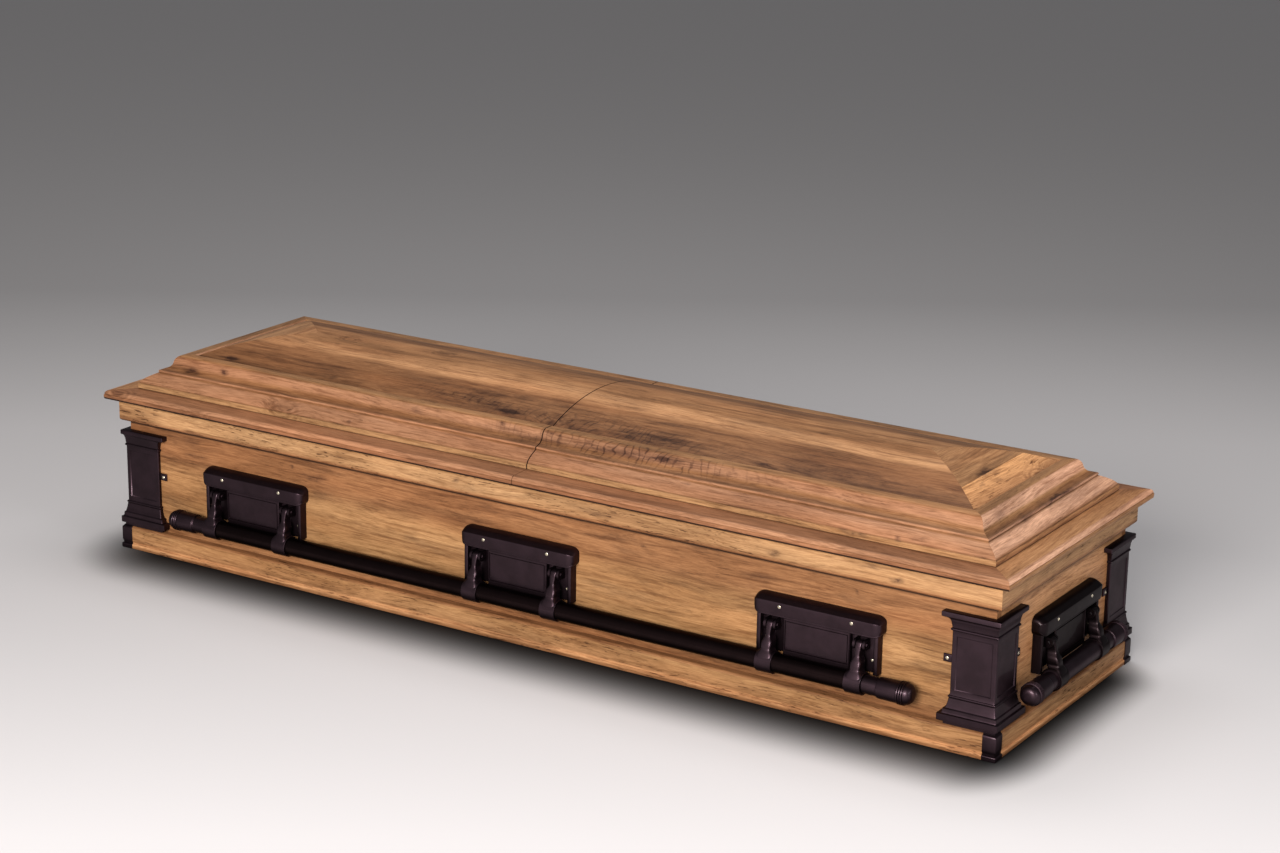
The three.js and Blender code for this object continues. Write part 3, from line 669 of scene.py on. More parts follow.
# Stains of the front and the foot end, as (x, y, z, half length, half width, half height, strength).
# The broad ones come first, then knots and smears.
DOME_MARKS = [
    (-190, -150, 436, 270, 30, 22, 0.7), (170, -168, 430, 320, 32, 20, 0.75),
    (640, -165, 432, 320, 32, 22, 0.7), (-640, -140, 440, 170, 24, 18, 0.3),
    (-110, -167, 431, 70, 16, 12, 0.9), (-98, -183, 424, 14, 7, 10, 0.8), (35, -170, 430, 80, 12, 12, 0.7),
    (326, -184, 424, 90, 7, 9, 0.8), (-845, -171, 429, 26, 9, 10, 0.9), (481, -174, 428, 36, 8, 9, 1.0),
    (-566, -169, 430, 10, 6, 8, 0.8), (560, -120, 446, 120, 9, 12, 0.5), (-170, -122, 446, 260, 12, 12, 0.6),
    (250, -110, 449, 150, 7, 10, 0.55),
]
DOME_SAW = [(110, -165, 432, 330, 40, 30, 0.75), (-230, -150, 436, 160, 26, 20, 0.6)]
CROWN_MARKS = [
    (230, -218, 411, 260, 20, 18, 0.65), (-60, -222, 406, 160, 16, 16, 0.6),
    (19, -217, 413, 12, 7, 8, 1.0), (110, -216, 413, 26, 12, 12, 0.75), (265, -216, 412, 62, 12, 13, 0.9),
    (400, -220, 407, 26, 10, 11, 0.9), (-98, -216, 417, 12, 8, 8, 0.9), (-312, -219, 411, 20, 8, 8, 1.0),
    (356, -248, 389, 13, 9, 5, 1.0), (858, -268, 380, 16, 9, 8, 1.0), (819, -271, 375, 12, 8, 6, 0.9),
    (726, -273, 364, 32, 5, 5, 0.8), (-445, -268, 380, 9, 7, 7, 0.8), (-947, -252, 387, 13, 8, 6, 0.9),
    (-908, -225, 401, 30, 9, 8, 0.9), (-815, -218, 413, 11, 8, 8, 0.8),
]
CROWN_SAW = [(190, -214, 412, 330, 40, 30, 0.8)]
CROWN_END_MARKS = [
    (981, -90, 396, 12, 60, 8, 0.75), (981, 60, 396, 11, 110, 7, 0.9), (955, -150, 412, 14, 40, 12, 0.5),
]
BAND_MARKS = [
    (-147, -304, 315, 11, 20, 9, 1.0), (-721, -304, 307, 14, 20, 9, 0.9), (-838, -304, 296, 30, 20, 6, 0.7),
    (577, -304, 305, 20, 20, 8, 0.8), (783, -304, 319, 26, 20, 6, 0.7), (833, -304, 306, 16, 20, 6, 0.8),
    (180, -304, 310, 60, 20, 9, 0.6),
]
PANEL_MARKS = [
    (280, -288, 258, 11, 20, 8, 0.95), (-578, -288, 262, 9, 20, 6, 0.9),
    (-523, -288, 247, 34, 20, 10, 0.7), (-846, -288, 235, 30, 20, 8, 0.6), (746, -288, 258, 7, 20, 6, 1.0),
    (541, -288, 247, 40, 20, 12, 0.6), (240, -288, 262, 70, 20, 9, 0.5),
]
HIP_MARKS = [
    (870, -25, 444, 10, 45, 12, 0.8), (893, -25, 438, 8, 20, 10, 0.8), (926, 78, 425, 7, 34, 9, 0.8),
    (884, -80, 440, 6, 16, 10, 0.8),
]

PLUM = sprayed("plum_casting", (0.045, 0.027, 0.034), (0.032, 0.0195, 0.024))
# A darker copy of the plum finish, painted shade for the plates and arms of the end handles
PLUM_SHADED = sprayed("shaded_plum_casting", (0.018, 0.0115, 0.013), (0.013, 0.008, 0.009))
BROWN_BLACK = sprayed("bar_finish", (0.017, 0.0095, 0.0098), (0.012, 0.0068, 0.007), rough=0.27,
                      grain=0.05, coat=0.03)


def nickel_material():
    """Bright plated metal with faint turning marks."""
    material, tree, shader = new_material("nickel")
    place = put(tree, "ShaderNodeTexCoord").outputs["Object"]
    marks = noise(tree, place, (1500.0, 1500.0, 1500.0), 2.0)
    plated = mix(tree, marks, colour(206, 196, 176), colour(170, 160, 142))
    fill(tree, shader, {"Base Color": plated, "Roughness": rise(tree, marks, 0.2, 0.8, 0.2, 0.36),
                        "Metallic": 0.7})
    return material


NICKEL = nickel_material()


# Box

def mitred(side, profile, half, leaf=0):
    """Straight length of moulding: the section (inset, z) runs along one side of a rectangle.

    Each end is at s = half length - inset, a mitre, or at the lid's seam.
    """
    along, reach = half if side in LONG_SIDES else half[::-1]
    inset, z = profile[:, 0], profile[:, 1]
    mitre = along - inset - MITRE_GAP / 2
    square = np.full_like(inset, SEAM / 2)
    first = square if leaf > 0 else -mitre
    last = -square if leaf < 0 else mitre
    t = np.linspace(0, 1, 9)[:, None]
    s = first * (1 - t) + last * t
    sx, sy = {"front": (0, -1), "back": (0, 1), "foot": (1, 0), "head": (-1, 0)}[side]
    out = reach - inset
    if sx:
        return tube(points(sx * out, s, z))
    return tube(points(s, sy * out, z))


def base_section():
    """Rounded lip at the floor, a shallow hollow, an upright face and a rounded ledge."""
    face = 1.4
    return chain(
        (BASE_DEPTH, 0), (2.2, 0), arc(2.4, 2.4, 2.2, 250, 180, 5), (0.1, BASE_LIP - 3),
        arc(2.2, BASE_LIP - 2.2, 2.2, 175, 100, 5),
        (face + 1.8, BASE_LIP + 0.6), (face + 1.6, BASE_LIP + 3),
        bend((face + 1.2, BASE_LIP + 5), (face, BASE_LIP + 7), (face, BASE_LIP + 12), 4),
        arc(face + BASE_EDGE, BASE_HEIGHT - BASE_EDGE, BASE_EDGE, 180, 90, 7), (BASE_DEPTH, BASE_HEIGHT),
    )


def band_section():
    """Band with a rounded lower edge and an eased upper edge."""
    depth = BAND_Y - WALL_Y - FIT
    return chain(
        (depth, BAND_BOTTOM), arc(BAND_ROUND, BAND_BOTTOM + BAND_ROUND, BAND_ROUND, 270, 180, 8),
        (0, BAND_TOP - 2), arc(2, BAND_TOP - 2, 2, 180, 90, 4), (depth, BAND_TOP),
    )


def rim_section():
    """Fascia that leans out to a rounded nose, and a flat top."""
    return chain(
        (RIM_WIDTH, RIM_BOTTOM), (2.4, RIM_BOTTOM), arc(2.2, RIM_BOTTOM + 1.2, 1.2, 260, 190, 4),
        (0.5, RIM_BOTTOM + 3.4),
        bend((0.2, RIM_BOTTOM + 6), (0, RIM_BOTTOM + 8), (0.5, RIM_BOTTOM + 9.4), 4),
        (1.5, RIM_BOTTOM + 10.2), (1.6, RIM_BOTTOM + 11.2),
        bend((1.4, RIM_BOTTOM + 12), (3.2, RIM_TOP - 1.8), (9, RIM_TOP - 1.3), 8),
        (CROWN_INSET - 6, RIM_TOP), (RIM_WIDTH, RIM_TOP),
    )


def crown_section():
    """Step, quarter round, bead, cyma, ridge, and inside them the shelf for the domed panel."""
    quarter = 2
    bead = quarter + QUARTER_WIDTH
    quarter_top = STEP_HEIGHT + QUARTER_HEIGHT
    bead_top = quarter_top + BEAD_HEIGHT
    top = CROWN_TOP - RIM_TOP
    cyma = bead + 1.5
    ridge = cyma + CYMA_WIDTH
    rise_to = top - bead_top
    hollow = (cyma + CYMA_WIDTH * 0.64, bead_top + rise_to * 0.45)
    shelf = top - PANEL_STEP - PANEL_THICKNESS - FIT
    section = chain(
        (0, FIT), (0, STEP_HEIGHT - 0.9), arc(0.9, STEP_HEIGHT - 0.9, 0.9, 170, 95, 3),
        (quarter - 0.2, STEP_HEIGHT), (quarter + 0.1, STEP_HEIGHT + 0.7),
        bend((quarter, STEP_HEIGHT + 1), (quarter + 1.5, STEP_HEIGHT + 9.5), (bead, quarter_top), 14),
        (bead + 0.9, quarter_top), (bead + 1, quarter_top + 0.8),
        arc(bead + 2.4, bead_top - 2.6, 2.4, 190, 100, 5),
        bend((cyma + 1, bead_top - 0.2), (cyma + CYMA_WIDTH * 0.52, bead_top + 2), hollow, 9),
        bend(hollow, (hollow[0] + 2, top - 3.5), (ridge, top), 12),
        (CROWN_WIDTH - 2.5, top), arc(CROWN_WIDTH - 2, top - 2, 2, 90, 0, 4),
        (CROWN_WIDTH, shelf), (CROWN_WIDTH + SHELF, shelf),
        (CROWN_WIDTH + SHELF, shelf - CROWN_THICKNESS / 2), (CROWN_WIDTH - 2, shelf - CROWN_THICKNESS / 2),
        (bead + CROWN_THICKNESS, quarter_top - CROWN_THICKNESS / 2), (RIM_WIDTH - CROWN_INSET - 2, FIT),
    )
    return section + np.array([CROWN_INSET, RIM_TOP])


def finish_nodes():
    """The flat boards keep their own solids and get wood of their own."""
    boards = {
        "side_panel_front": timber("wood_panel_front", PANEL_TONES, 3, bands=0.7, streaks=0.6, smears=0.5,
                                   flecks=0.35, knots=0.12, marks=PANEL_MARKS),
        "side_panel_back": timber("wood_panel_back", PANEL_TONES, 4, bands=0.6, flecks=0.35, knots=0.2),
        "end_panel_foot": timber("wood_panel_foot", PANEL_END_TONES, 5, grain="y", bands=0.6),
        "end_panel_head": timber("wood_panel_head", PANEL_END_TONES, 6, grain="y", bands=0.6),
        "bottom_board": timber("wood_bottom", INSIDE_TONES, 7, smears=0.1, flecks=0.2),
    }
    for node, wood in boards.items():
        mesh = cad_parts[node].data
        mesh.materials.clear()
        mesh.materials.append(wood)


def side_timber(kind, side, tones, index, marks=None, saw=None, **looks):
    """Wood of one kind of moulding on one side; marks and saw hold the stains of the sides that have any."""
    return timber("wood_%s_%s" % (kind, side), tones, index, grain="x" if side in LONG_SIDES else "y",
                  marks=(marks or {}).get(side, ()), saw=(saw or {}).get(side, ()), **looks)


def add_mouldings():
    """The base frame and the band, each of four mitred lengths."""
    for index, side in enumerate(SIDE_TURN):
        rail = side_timber("base", side, BASE_TONES, 10 + index, bands=0.35, streaks=0.55, smears=0.15,
                           flecks=0.9, knots=0.1)
        make("base_rail_" + side, [mitred(side, base_section(), (BASE_X, BASE_Y))], rail,
             stands_for=["base_moulding"])
        band = side_timber("band", side, BAND_TONES, 20 + index, marks={"front": BAND_MARKS}, bands=0.3,
                           streaks=0.45, flecks=0.9, knots=0.25)
        make("band_" + side, [mitred(side, band_section(), (BAND_X, BAND_Y))], band,
             stands_for=["top_moulding_" + side])


def add_lid():
    """Rims and crowns of both leaves. One board's pattern runs on from leaf to leaf."""
    half = (RIM_X, RIM_Y)
    for index, side in enumerate(SIDE_TURN):
        if side in LONG_SIDES:
            rim_tones, crown_tones = RIM_TONES, CROWN_TONES
            pieces = [("head_" + side, "lid_head_%s_" + side, -1), ("foot_" + side, "lid_foot_%s_" + side, 1)]
        else:
            rim_tones, crown_tones = RIM_END_TONES, CROWN_END_TONES
            pieces = [(side + "_end", "lid_" + side + "_%s_end", 0)]
        rim = side_timber("rim", side, rim_tones, 30 + index, bands=0.35, streaks=0.45, smears=0.1,
                          flecks=0.3, knots=0.06)
        crown = side_timber("crown", side, crown_tones, 50 + index, saw={"front": CROWN_SAW},
                            marks={"front": CROWN_MARKS, "foot": CROWN_END_MARKS}, bands=0.4, smears=0.35,
                            knots=0.15, seam=True)
        for label, node, leaf in pieces:
            make("rim_" + label, [mitred(side, rim_section(), half, leaf)], rim,
                 stands_for=[node % "rim"])
            make("crown_" + label, [mitred(side, crown_section(), half, leaf)], crown,
                 stands_for=[node % "crown"], crease=24)


def add_domes():
    """Domed panels: one long board over both leaves, and two boards at each hipped end."""
    board = timber("wood_dome", DOME_TONES, 70, axis="Y", bands=0.6, streaks=0.7, smears=0.5, flecks=0.35,
                   knots=0.2, marks=DOME_MARKS, saw=DOME_SAW, seam=True)
    hips = {
        "foot": [timber("wood_hip_foot_outer", HIP_OUTER_TONES, 80, axis="X", grain="y", bands=0.3,
                        streaks=0.35, smears=0.2, flecks=0.9, marks=HIP_MARKS),
                 timber("wood_hip_foot_inner", HIP_INNER_TONES, 81, axis="X", grain="y", bands=0.6,
                        streaks=0.6, smears=0.5, flecks=0.4, marks=HIP_MARKS)],
        "head": [timber("wood_hip_head_" + place, HEAD_HIP_TONES, index, axis="X", grain="y")
                 for index, place in ((90, "outer"), (91, "inner"))],
    }
    for leaf_name, leaf in (("head", -1), ("foot", 1)):
        make("dome_" + leaf_name, dome_shells(leaf), [board, *hips[leaf_name]],
             stands_for=["lid_%s_panel" % leaf_name])


def dome_height(inset):
    """Height of the dome at a distance in from its edge: edge + sqrt(R^2 - (h - inset)^2) - (R - rise)."""
    half = RIM_Y - PANEL_INSET
    edge = CROWN_TOP - PANEL_STEP
    rise_to = DOME_TOP - edge
    radius = (rise_to ** 2 + half ** 2) / (2 * rise_to)
    return edge + np.sqrt(radius ** 2 - (half - inset) ** 2) - (radius - rise_to)


def dome_shells(leaf):
    """The long board, and the outer and inner boards of the hipped end."""
    half_x, half_y = RIM_X - PANEL_INSET, RIM_Y - PANEL_INSET
    gap = MITRE_GAP / 2
    y = np.linspace(-half_y, half_y, 65)[None, :]
    hip = half_x - (half_y - np.abs(y)) - gap
    t = np.linspace(0, 1, 25)[:, None]
    x = SEAM / 2 * (1 - t) + hip * t
    long_board = slab(points(leaf * x, y, dome_height(half_y - np.abs(y))), PANEL_THICKNESS)
    hips = []
    for first, last in ((0, HIP_BOARD - gap), (HIP_BOARD + gap, half_y - 1)):
        inset = np.linspace(first, last, 17)[:, None]
        s = np.linspace(-1, 1, 33)[None, :]
        across = s * (half_y - inset - gap)
        hips.append(slab(points(leaf * (half_x - inset), across, dome_height(inset)), PANEL_THICKNESS))
    return [long_board, *hips]


# Metal corners

def post_levels():
    """Rows of (z, depth, reach past the shaft), with curves between the flats of the mouldings."""
    foot = WALL_BOTTOM
    body = POST_DEPTH
    rows = [
        (foot + 0.2, 13.4, 8.4), (foot + 0.8, 14, 9), (foot + 5.4, 14, 9),
        (foot + 6.2, FLARE - 3.4, FLARE - 4), (foot + 7.0, FLARE - 1, FLARE - 1),
        (foot + 8.0, FLARE, FLARE), (foot + 19.8, FLARE, FLARE), (foot + 20.6, FLARE - 0.8, FLARE - 0.8),
    ]
    cove = bend((foot + 21.4, FLARE - 3.5), (foot + 22.4, 15.8), (foot + 25, 15.6), 4)
    rows += [(z, d, 12 - 0.3 * k) for k, (z, d) in enumerate(cove)]
    rows += [(foot + 29.2, 15.4, 11), (foot + 30.0, 14.6, 10.2)]
    cove = bend((foot + 31.2, body + 5), (foot + 40, body + 2.4), (SHAFT_BOTTOM - 7, body + 1.4), 6)
    rows += [(z, d, (d - body) * 1.2) for z, d in cove]
    bead = arc(0, SHAFT_BOTTOM - 3.6, 2.6, -80, 80, 8)
    rows += [(z, body + d, 0.6 + d) for d, z in bead]
    rows += [(SHAFT_BOTTOM, body, 0)]
    inner = (SHAFT_BOTTOM + BORDER, SHAFT_TOP - BORDER)
    rows += [(inner[0], body, 0), (inner[0] + 1.4, body, 0), (inner[1] - 1.4, body, 0), (inner[1], body, 0)]
    rows += [(SHAFT_TOP, body, 0)]
    bead = arc(0, SHAFT_TOP + 3.6, 2.6, -80, 80, 8)
    rows += [(z, body + d, 0.6 + d) for d, z in bead]
    cap = CAP_TOP - 19
    rows += [(SHAFT_TOP + 8, body + 1, 1), (cap, body + 2.0, 3)]
    cove = bend((cap + 1, body + 2.6), (cap + 7.5, body + 3.4), (cap + 8.4, 14.4), 6)
    rows += [(z, d, 3.4 + (d - body - 2.6) * 2.6) for z, d in cove]
    rows += [(cap + 9.2, 16.0, FLARE - 0.6), (cap + 10, 16.5, FLARE), (CAP_TOP - 1.6, 16.5, FLARE),
             (CAP_TOP - 0.5, 16.0, FLARE - 0.5), (CAP_TOP, 15, FLARE - 1.5)]
    return np.array(rows)


def post_shells():
    """L-shaped section carried up the levels, with a sunk field on each face of the shaft."""
    levels = post_levels()
    z, depth, extra = levels[:, 0], levels[:, 1], levels[:, 2]
    edge, corner = 1.4, 2.0
    near, far = POST_REACH - BORDER, BORDER - POST_DEPTH
    inside = (z > SHAFT_BOTTOM + BORDER + 0.5) & (z < SHAFT_TOP - BORDER - 0.5)
    sunk = depth - RECESS * inside
    end = -(POST_REACH + extra)
    turn = np.radians(np.linspace(90, 45, 4))[:, None]
    face = [
        (end, np.full_like(z, FIT)), (end, depth - edge), (end + edge, depth),
        (np.full_like(z, -near), depth), (np.full_like(z, -near + 1.4), sunk),
        (np.full_like(z, -far - 1.4), sunk), (np.full_like(z, -far), depth),
    ]
    face += list(zip(depth - corner + corner * np.cos(turn), depth - corner + corner * np.sin(turn)))
    first = np.array(face)
    second = first[::-1][1:, ::-1]
    inner = np.array([[np.full_like(z, FIT), np.full_like(z, FIT)]])
    loop = np.concatenate([first, second, inner])
    grid = points(loop[:, 0].T, loop[:, 1].T, z[:, None])
    top, bottom = TAB_CENTRE + TAB_HEIGHT / 2, TAB_CENTRE - TAB_HEIGHT / 2
    tab = pad(-POST_REACH - TAB_WIDTH, -POST_REACH + 1, bottom, top, FIT, TAB_THICKNESS, 1.4)
    return [tube(grid), tab, (tab[0][:, [1, 0, 2]], tab[1])]


def guard_shells():
    """Thin sheet that follows the base rail's face round the corner and folds over its ledge."""
    section = base_section()
    section = section[(section[:, 0] < 8) & (section[:, 1] > 0.5)]
    overhang = BASE_X - WALL_X
    reach = overhang - GUARD_REACH
    rows = [(z, overhang - inset + 0.2, overhang - inset + GUARD_THICKNESS) for inset, z in section]
    fold = BASE_HEIGHT + 0.2
    lip = overhang - GUARD_LIP
    rows += [(fold, lip, overhang - 2.6), (fold + 1.0, lip, overhang - 3.4),
             (fold + 1.5, lip + 0.3, overhang - 4)]
    rows = np.array(rows)
    z, inner, outer = rows[:, 0], rows[:, 1], rows[:, 2]
    ends = np.full_like(z, reach)
    loop = np.array([
        (ends, inner), (ends, outer - 0.5), (ends + 0.5, outer), (outer - 1.6, outer),
        (outer - 0.5, outer - 0.5), (outer, outer - 1.6), (outer, ends + 0.5), (outer - 0.5, ends),
        (inner, ends), (inner, inner),
    ])
    return [tube(points(loop[:, 0].T, loop[:, 1].T, z[:, None]))]


def screw_shell(x, depth, z, radius=SCREW_RADIUS):
    """Domed head with a cross recess: height = dome - recess where the point lies in the cross."""
    r = np.array([0, 0.12, 0.2, 0.3, 0.45, 0.6, 0.66, 0.8, 0.92, 1.0, 1.0, 0])[:, None] * radius
    t = np.linspace(0, 2 * math.pi, 32, endpoint=False)[None, :]
    p, q = r * np.cos(t), r * np.sin(t)
    arm = np.minimum(np.abs(p), np.abs(q)) < 0.14 * radius
    cross = arm & (r < 0.62 * radius)
    height = 0.42 * radius * np.sqrt(np.clip(1.15 - (r / radius) ** 2, 0, None)) - 0.3 * radius * cross
    height[-2:] = -0.4
    return tube(points(x + p, depth + height, z + q), ends="none")


def add_corners():
    """Post, guard and two screws at each corner."""
    for corner in CORNERS:
        make("post_" + corner, at_corner(corner, post_shells()), PLUM,
             stands_for=["corner_post_" + corner])
        make("guard_" + corner, at_corner(corner, guard_shells()), PLUM,
             stands_for=["base_guard_" + corner])
        place = -POST_REACH - TAB_WIDTH / 2 - 1
        head = screw_shell(place, TAB_THICKNESS, TAB_CENTRE)
        make("post_screws_" + corner, at_corner(corner, [head, (head[0][:, [1, 0, 2]], head[1])]), NICKEL)


# Handles

def plate_shells():
    """Back pan, two cheeks, the centre block with its sunk field, the hood and the pivot ears."""
    pan = pad(-PLATE_HALF + 0.5, PLATE_HALF - 0.5, PLATE_BOTTOM + 0.5, PLATE_TOP - 4, FIT, PAN_DEPTH, 2)
    cheeks = [pad(*sorted((s * POCKET_OUTER, s * PLATE_HALF)), PLATE_BOTTOM, HOOD_BOTTOM + 3, FIT,
                  PLATE_DEPTH, 2.4) for s in (-1, 1)]

    middle = (FIELD_LOW + FIELD_HIGH) / 2
    field = (FIELD_HIGH - FIELD_LOW) / 2

    def block_depth(x, z):
        inside = np.minimum(FIELD_HALF - np.abs(x), field - np.abs(z - middle))
        edge = np.minimum(BLOCK_HALF - np.abs(x), z - PLATE_BOTTOM)
        field_share = smooth((inside - 0.9) / 0.8)
        groove = smooth((inside + 0.9) / 0.8) - field_share
        return PLATE_DEPTH - 1.9 * groove - 0.5 * field_share - 1.6 * smooth(1 - edge / 1.8)
    lines = np.array([-0.9, -0.1, 0.9, 1.7])
    side = np.concatenate([[BLOCK_HALF, BLOCK_HALF - 0.8, BLOCK_HALF - 1.8], FIELD_HALF - lines])
    xs = np.concatenate([-side, [-30, 0, 30], side[::-1]])
    zs = np.concatenate([[PLATE_BOTTOM, PLATE_BOTTOM + 0.8, PLATE_BOTTOM + 1.8], FIELD_LOW + lines,
                         FIELD_HIGH - lines[::-1], [HOOD_BOTTOM + 2]])
    block = relief(xs, zs, block_depth, FIT)

    section = chain(
        (FIT, HOOD_BOTTOM), (HOOD_DEPTH - 4.5, HOOD_BOTTOM),
        arc(HOOD_DEPTH - 3.4, HOOD_BOTTOM + 1.6, 1.6, 270, 360, 4),
        (HOOD_DEPTH - 2.2, HOOD_BOTTOM + 3.4), (HOOD_DEPTH - 1.2, HOOD_BOTTOM + 4.2),
        (HOOD_DEPTH - 0.4, HOOD_BOTTOM + 12), (HOOD_DEPTH, HOOD_BOTTOM + 24),
        arc(HOOD_DEPTH - 1.5, PLATE_TOP - 11, 1.5, 0, 55, 3),
        bend((HOOD_DEPTH - 3, PLATE_TOP - 8.4), (15, PLATE_TOP - 0.5), (7, PLATE_TOP), 5), (FIT, PLATE_TOP),
    )
    turn = np.linspace(0, math.pi / 2, 11)
    ends = PLATE_WIDE - HOOD_CORNER + HOOD_CORNER * np.sin(turn)
    xs = np.concatenate([-ends[::-1], [-60, 0, 60], ends])[:, None]
    past = np.clip((np.abs(xs) - (PLATE_WIDE - HOOD_CORNER)) / HOOD_CORNER, 0, 1)
    fall = np.sqrt(np.clip(1 - past ** 2, 0, 1))
    depth = FIT + (section[None, :, 0] - FIT) * (0.35 + 0.65 * fall ** 0.6)
    height = HOOD_MIDDLE + (section[None, :, 1] - HOOD_MIDDLE) * (0.4 + 0.6 * fall)
    hood = tube(points(xs, depth, height))

    ears = []
    for centre in (-ARM_SPREAD, ARM_SPREAD):
        for s in (-1, 1):
            inner = ARM_HALF + EAR_GAP
            outline = chain((PAN_DEPTH - 1, PIVOT_HEIGHT - EAR_RADIUS),
                            arc(PIVOT_DEPTH, PIVOT_HEIGHT, EAR_RADIUS, -90, 90, 12),
                            (PAN_DEPTH - 1, PIVOT_HEIGHT + EAR_RADIUS))
            x = centre + s * np.array([inner, inner + EAR_THICKNESS])[:, None]
            ears.append(tube(points(x, outline[None, :, 0], outline[None, :, 1])))
            nut = np.array([(0, 0), (0, 4.6), (1.6, 4.6), (2.2, 4.0), (2.4, 0)]) * (s, 1)
            ears.append(lathe(nut, centre + s * (inner + EAR_THICKNESS), PIVOT_DEPTH, PIVOT_HEIGHT, 6))
    return [pan, *cheeks, block, hood, *ears]


def squared(share):
    """Pulls a sine or cosine outwards, so that a circle becomes a square with round corners."""
    return np.sign(share) * np.abs(share) ** 0.32


def arm_shells():
    """A rounded square section run through levels from the foot up to the eye, and a clasp.

    The section is x = w |cos t|^0.32, depth = h |sin t|^0.32 with the signs of the cosine and sine.
    The clasp is a flat ring round the bar.
    """
    seat = BAR_DEPTH + BAR_RADIUS + FOOT_WALL
    levels = [
        (BAR_HEIGHT, FOOT_HALF - 0.2, BAR_DEPTH, seat - 0.6),
        (BAR_HEIGHT + 10, FOOT_HALF - 0.4, BAR_DEPTH - 6, seat - 2.6),
        (BAR_HEIGHT + 19, FOOT_HALF - 2.5, BAR_DEPTH - 10, seat - 6.5),
        (BAR_HEIGHT + 26, ARM_HALF + 3.4, BAR_DEPTH - 14, BAR_DEPTH + 12),
        (BAR_HEIGHT + 33, ARM_HALF + 3.8, BAR_DEPTH - 16, BAR_DEPTH + 10.5),
        (BAR_HEIGHT + 40, ARM_HALF + 3.2, BAR_DEPTH - 16, BAR_DEPTH + 8),
        (BAR_HEIGHT + 50, ARM_HALF - 1.6, PIVOT_DEPTH - 6, BAR_DEPTH + 3),
        (BAR_HEIGHT + 62, ARM_HALF - 1.4, PIVOT_DEPTH - 8, BAR_DEPTH + 0.5),
        (PIVOT_HEIGHT + 2, ARM_HALF - 0.2, PIVOT_DEPTH - 9, PIVOT_DEPTH + 10),
        (PIVOT_HEIGHT + 7, ARM_HALF - 0.6, PIVOT_DEPTH - 7, PIVOT_DEPTH + 7),
        (PIVOT_HEIGHT + 9.5, ARM_HALF - 3, PIVOT_DEPTH - 3, PIVOT_DEPTH + 2),
    ]
    z = np.concatenate([np.linspace(BAR_HEIGHT, PIVOT_HEIGHT + 6, 44),
                        PIVOT_HEIGHT + np.array([7, 8, 9, 9.5])])
    half, back, front = through(z, levels).T
    t = np.linspace(0, 2 * math.pi, 32, endpoint=False)[None, :]
    x = half[:, None] * squared(np.cos(t))
    depth = ((back + front) / 2)[:, None] + ((front - back) / 2)[:, None] * squared(np.sin(t))
    shank = tube(points(x, depth, z[:, None]))
    outer = BAR_RADIUS + FOOT_WALL
    ring = chain((-FOOT_HALF, BAR_RADIUS + 0.3), (-FOOT_HALF, outer - 0.8), (-FOOT_HALF + 0.8, outer),
                 (FOOT_HALF - 0.8, outer), (FOOT_HALF, outer - 0.8), (FOOT_HALF, BAR_RADIUS + 0.3))
    a = np.linspace(0, 2 * math.pi, 49)[:, None]
    clasp = tube(points(ring[None, :, 0], BAR_DEPTH + ring[None, :, 1] * np.cos(a),
                        BAR_HEIGHT + ring[None, :, 1] * np.sin(a)), ends="none")
    return [shank, clasp]


def tip_section():
    """Neck, collar, barrel, three fine rings and a domed end, as rows of (place, radius)."""
    neck = NECK_LENGTH
    end = TIP_LENGTH - 1
    dome = end - DOME_LENGTH
    ring = np.array([(-13, -3), (-12.4, -0.5), (-11.2, 0), (-9.6, -0.4), (-9.0, -3)])
    rings = np.vstack([ring + (dome + RING_SPACING * k, TIP_RADIUS) for k in range(3)])
    return chain(
        (0.2, 0), (0.2, NECK_RADIUS - 0.6), (0.8, NECK_RADIUS), (neck, NECK_RADIUS),
        arc(neck + 2.4, NECK_RADIUS + 1.2, 1.6, 200, 100, 4), (neck + 3.4, TIP_RADIUS - 2),
        (dome - 13.4, TIP_RADIUS - 1.6), rings, (dome + 1, TIP_RADIUS - 2.4),
        [(dome + DOME_LENGTH * math.sin(a), 3 + (TIP_RADIUS - 5.4) * math.cos(a) ** 0.7)
         for a in np.radians(np.linspace(8, 84, 12))], (end, 0),
    )


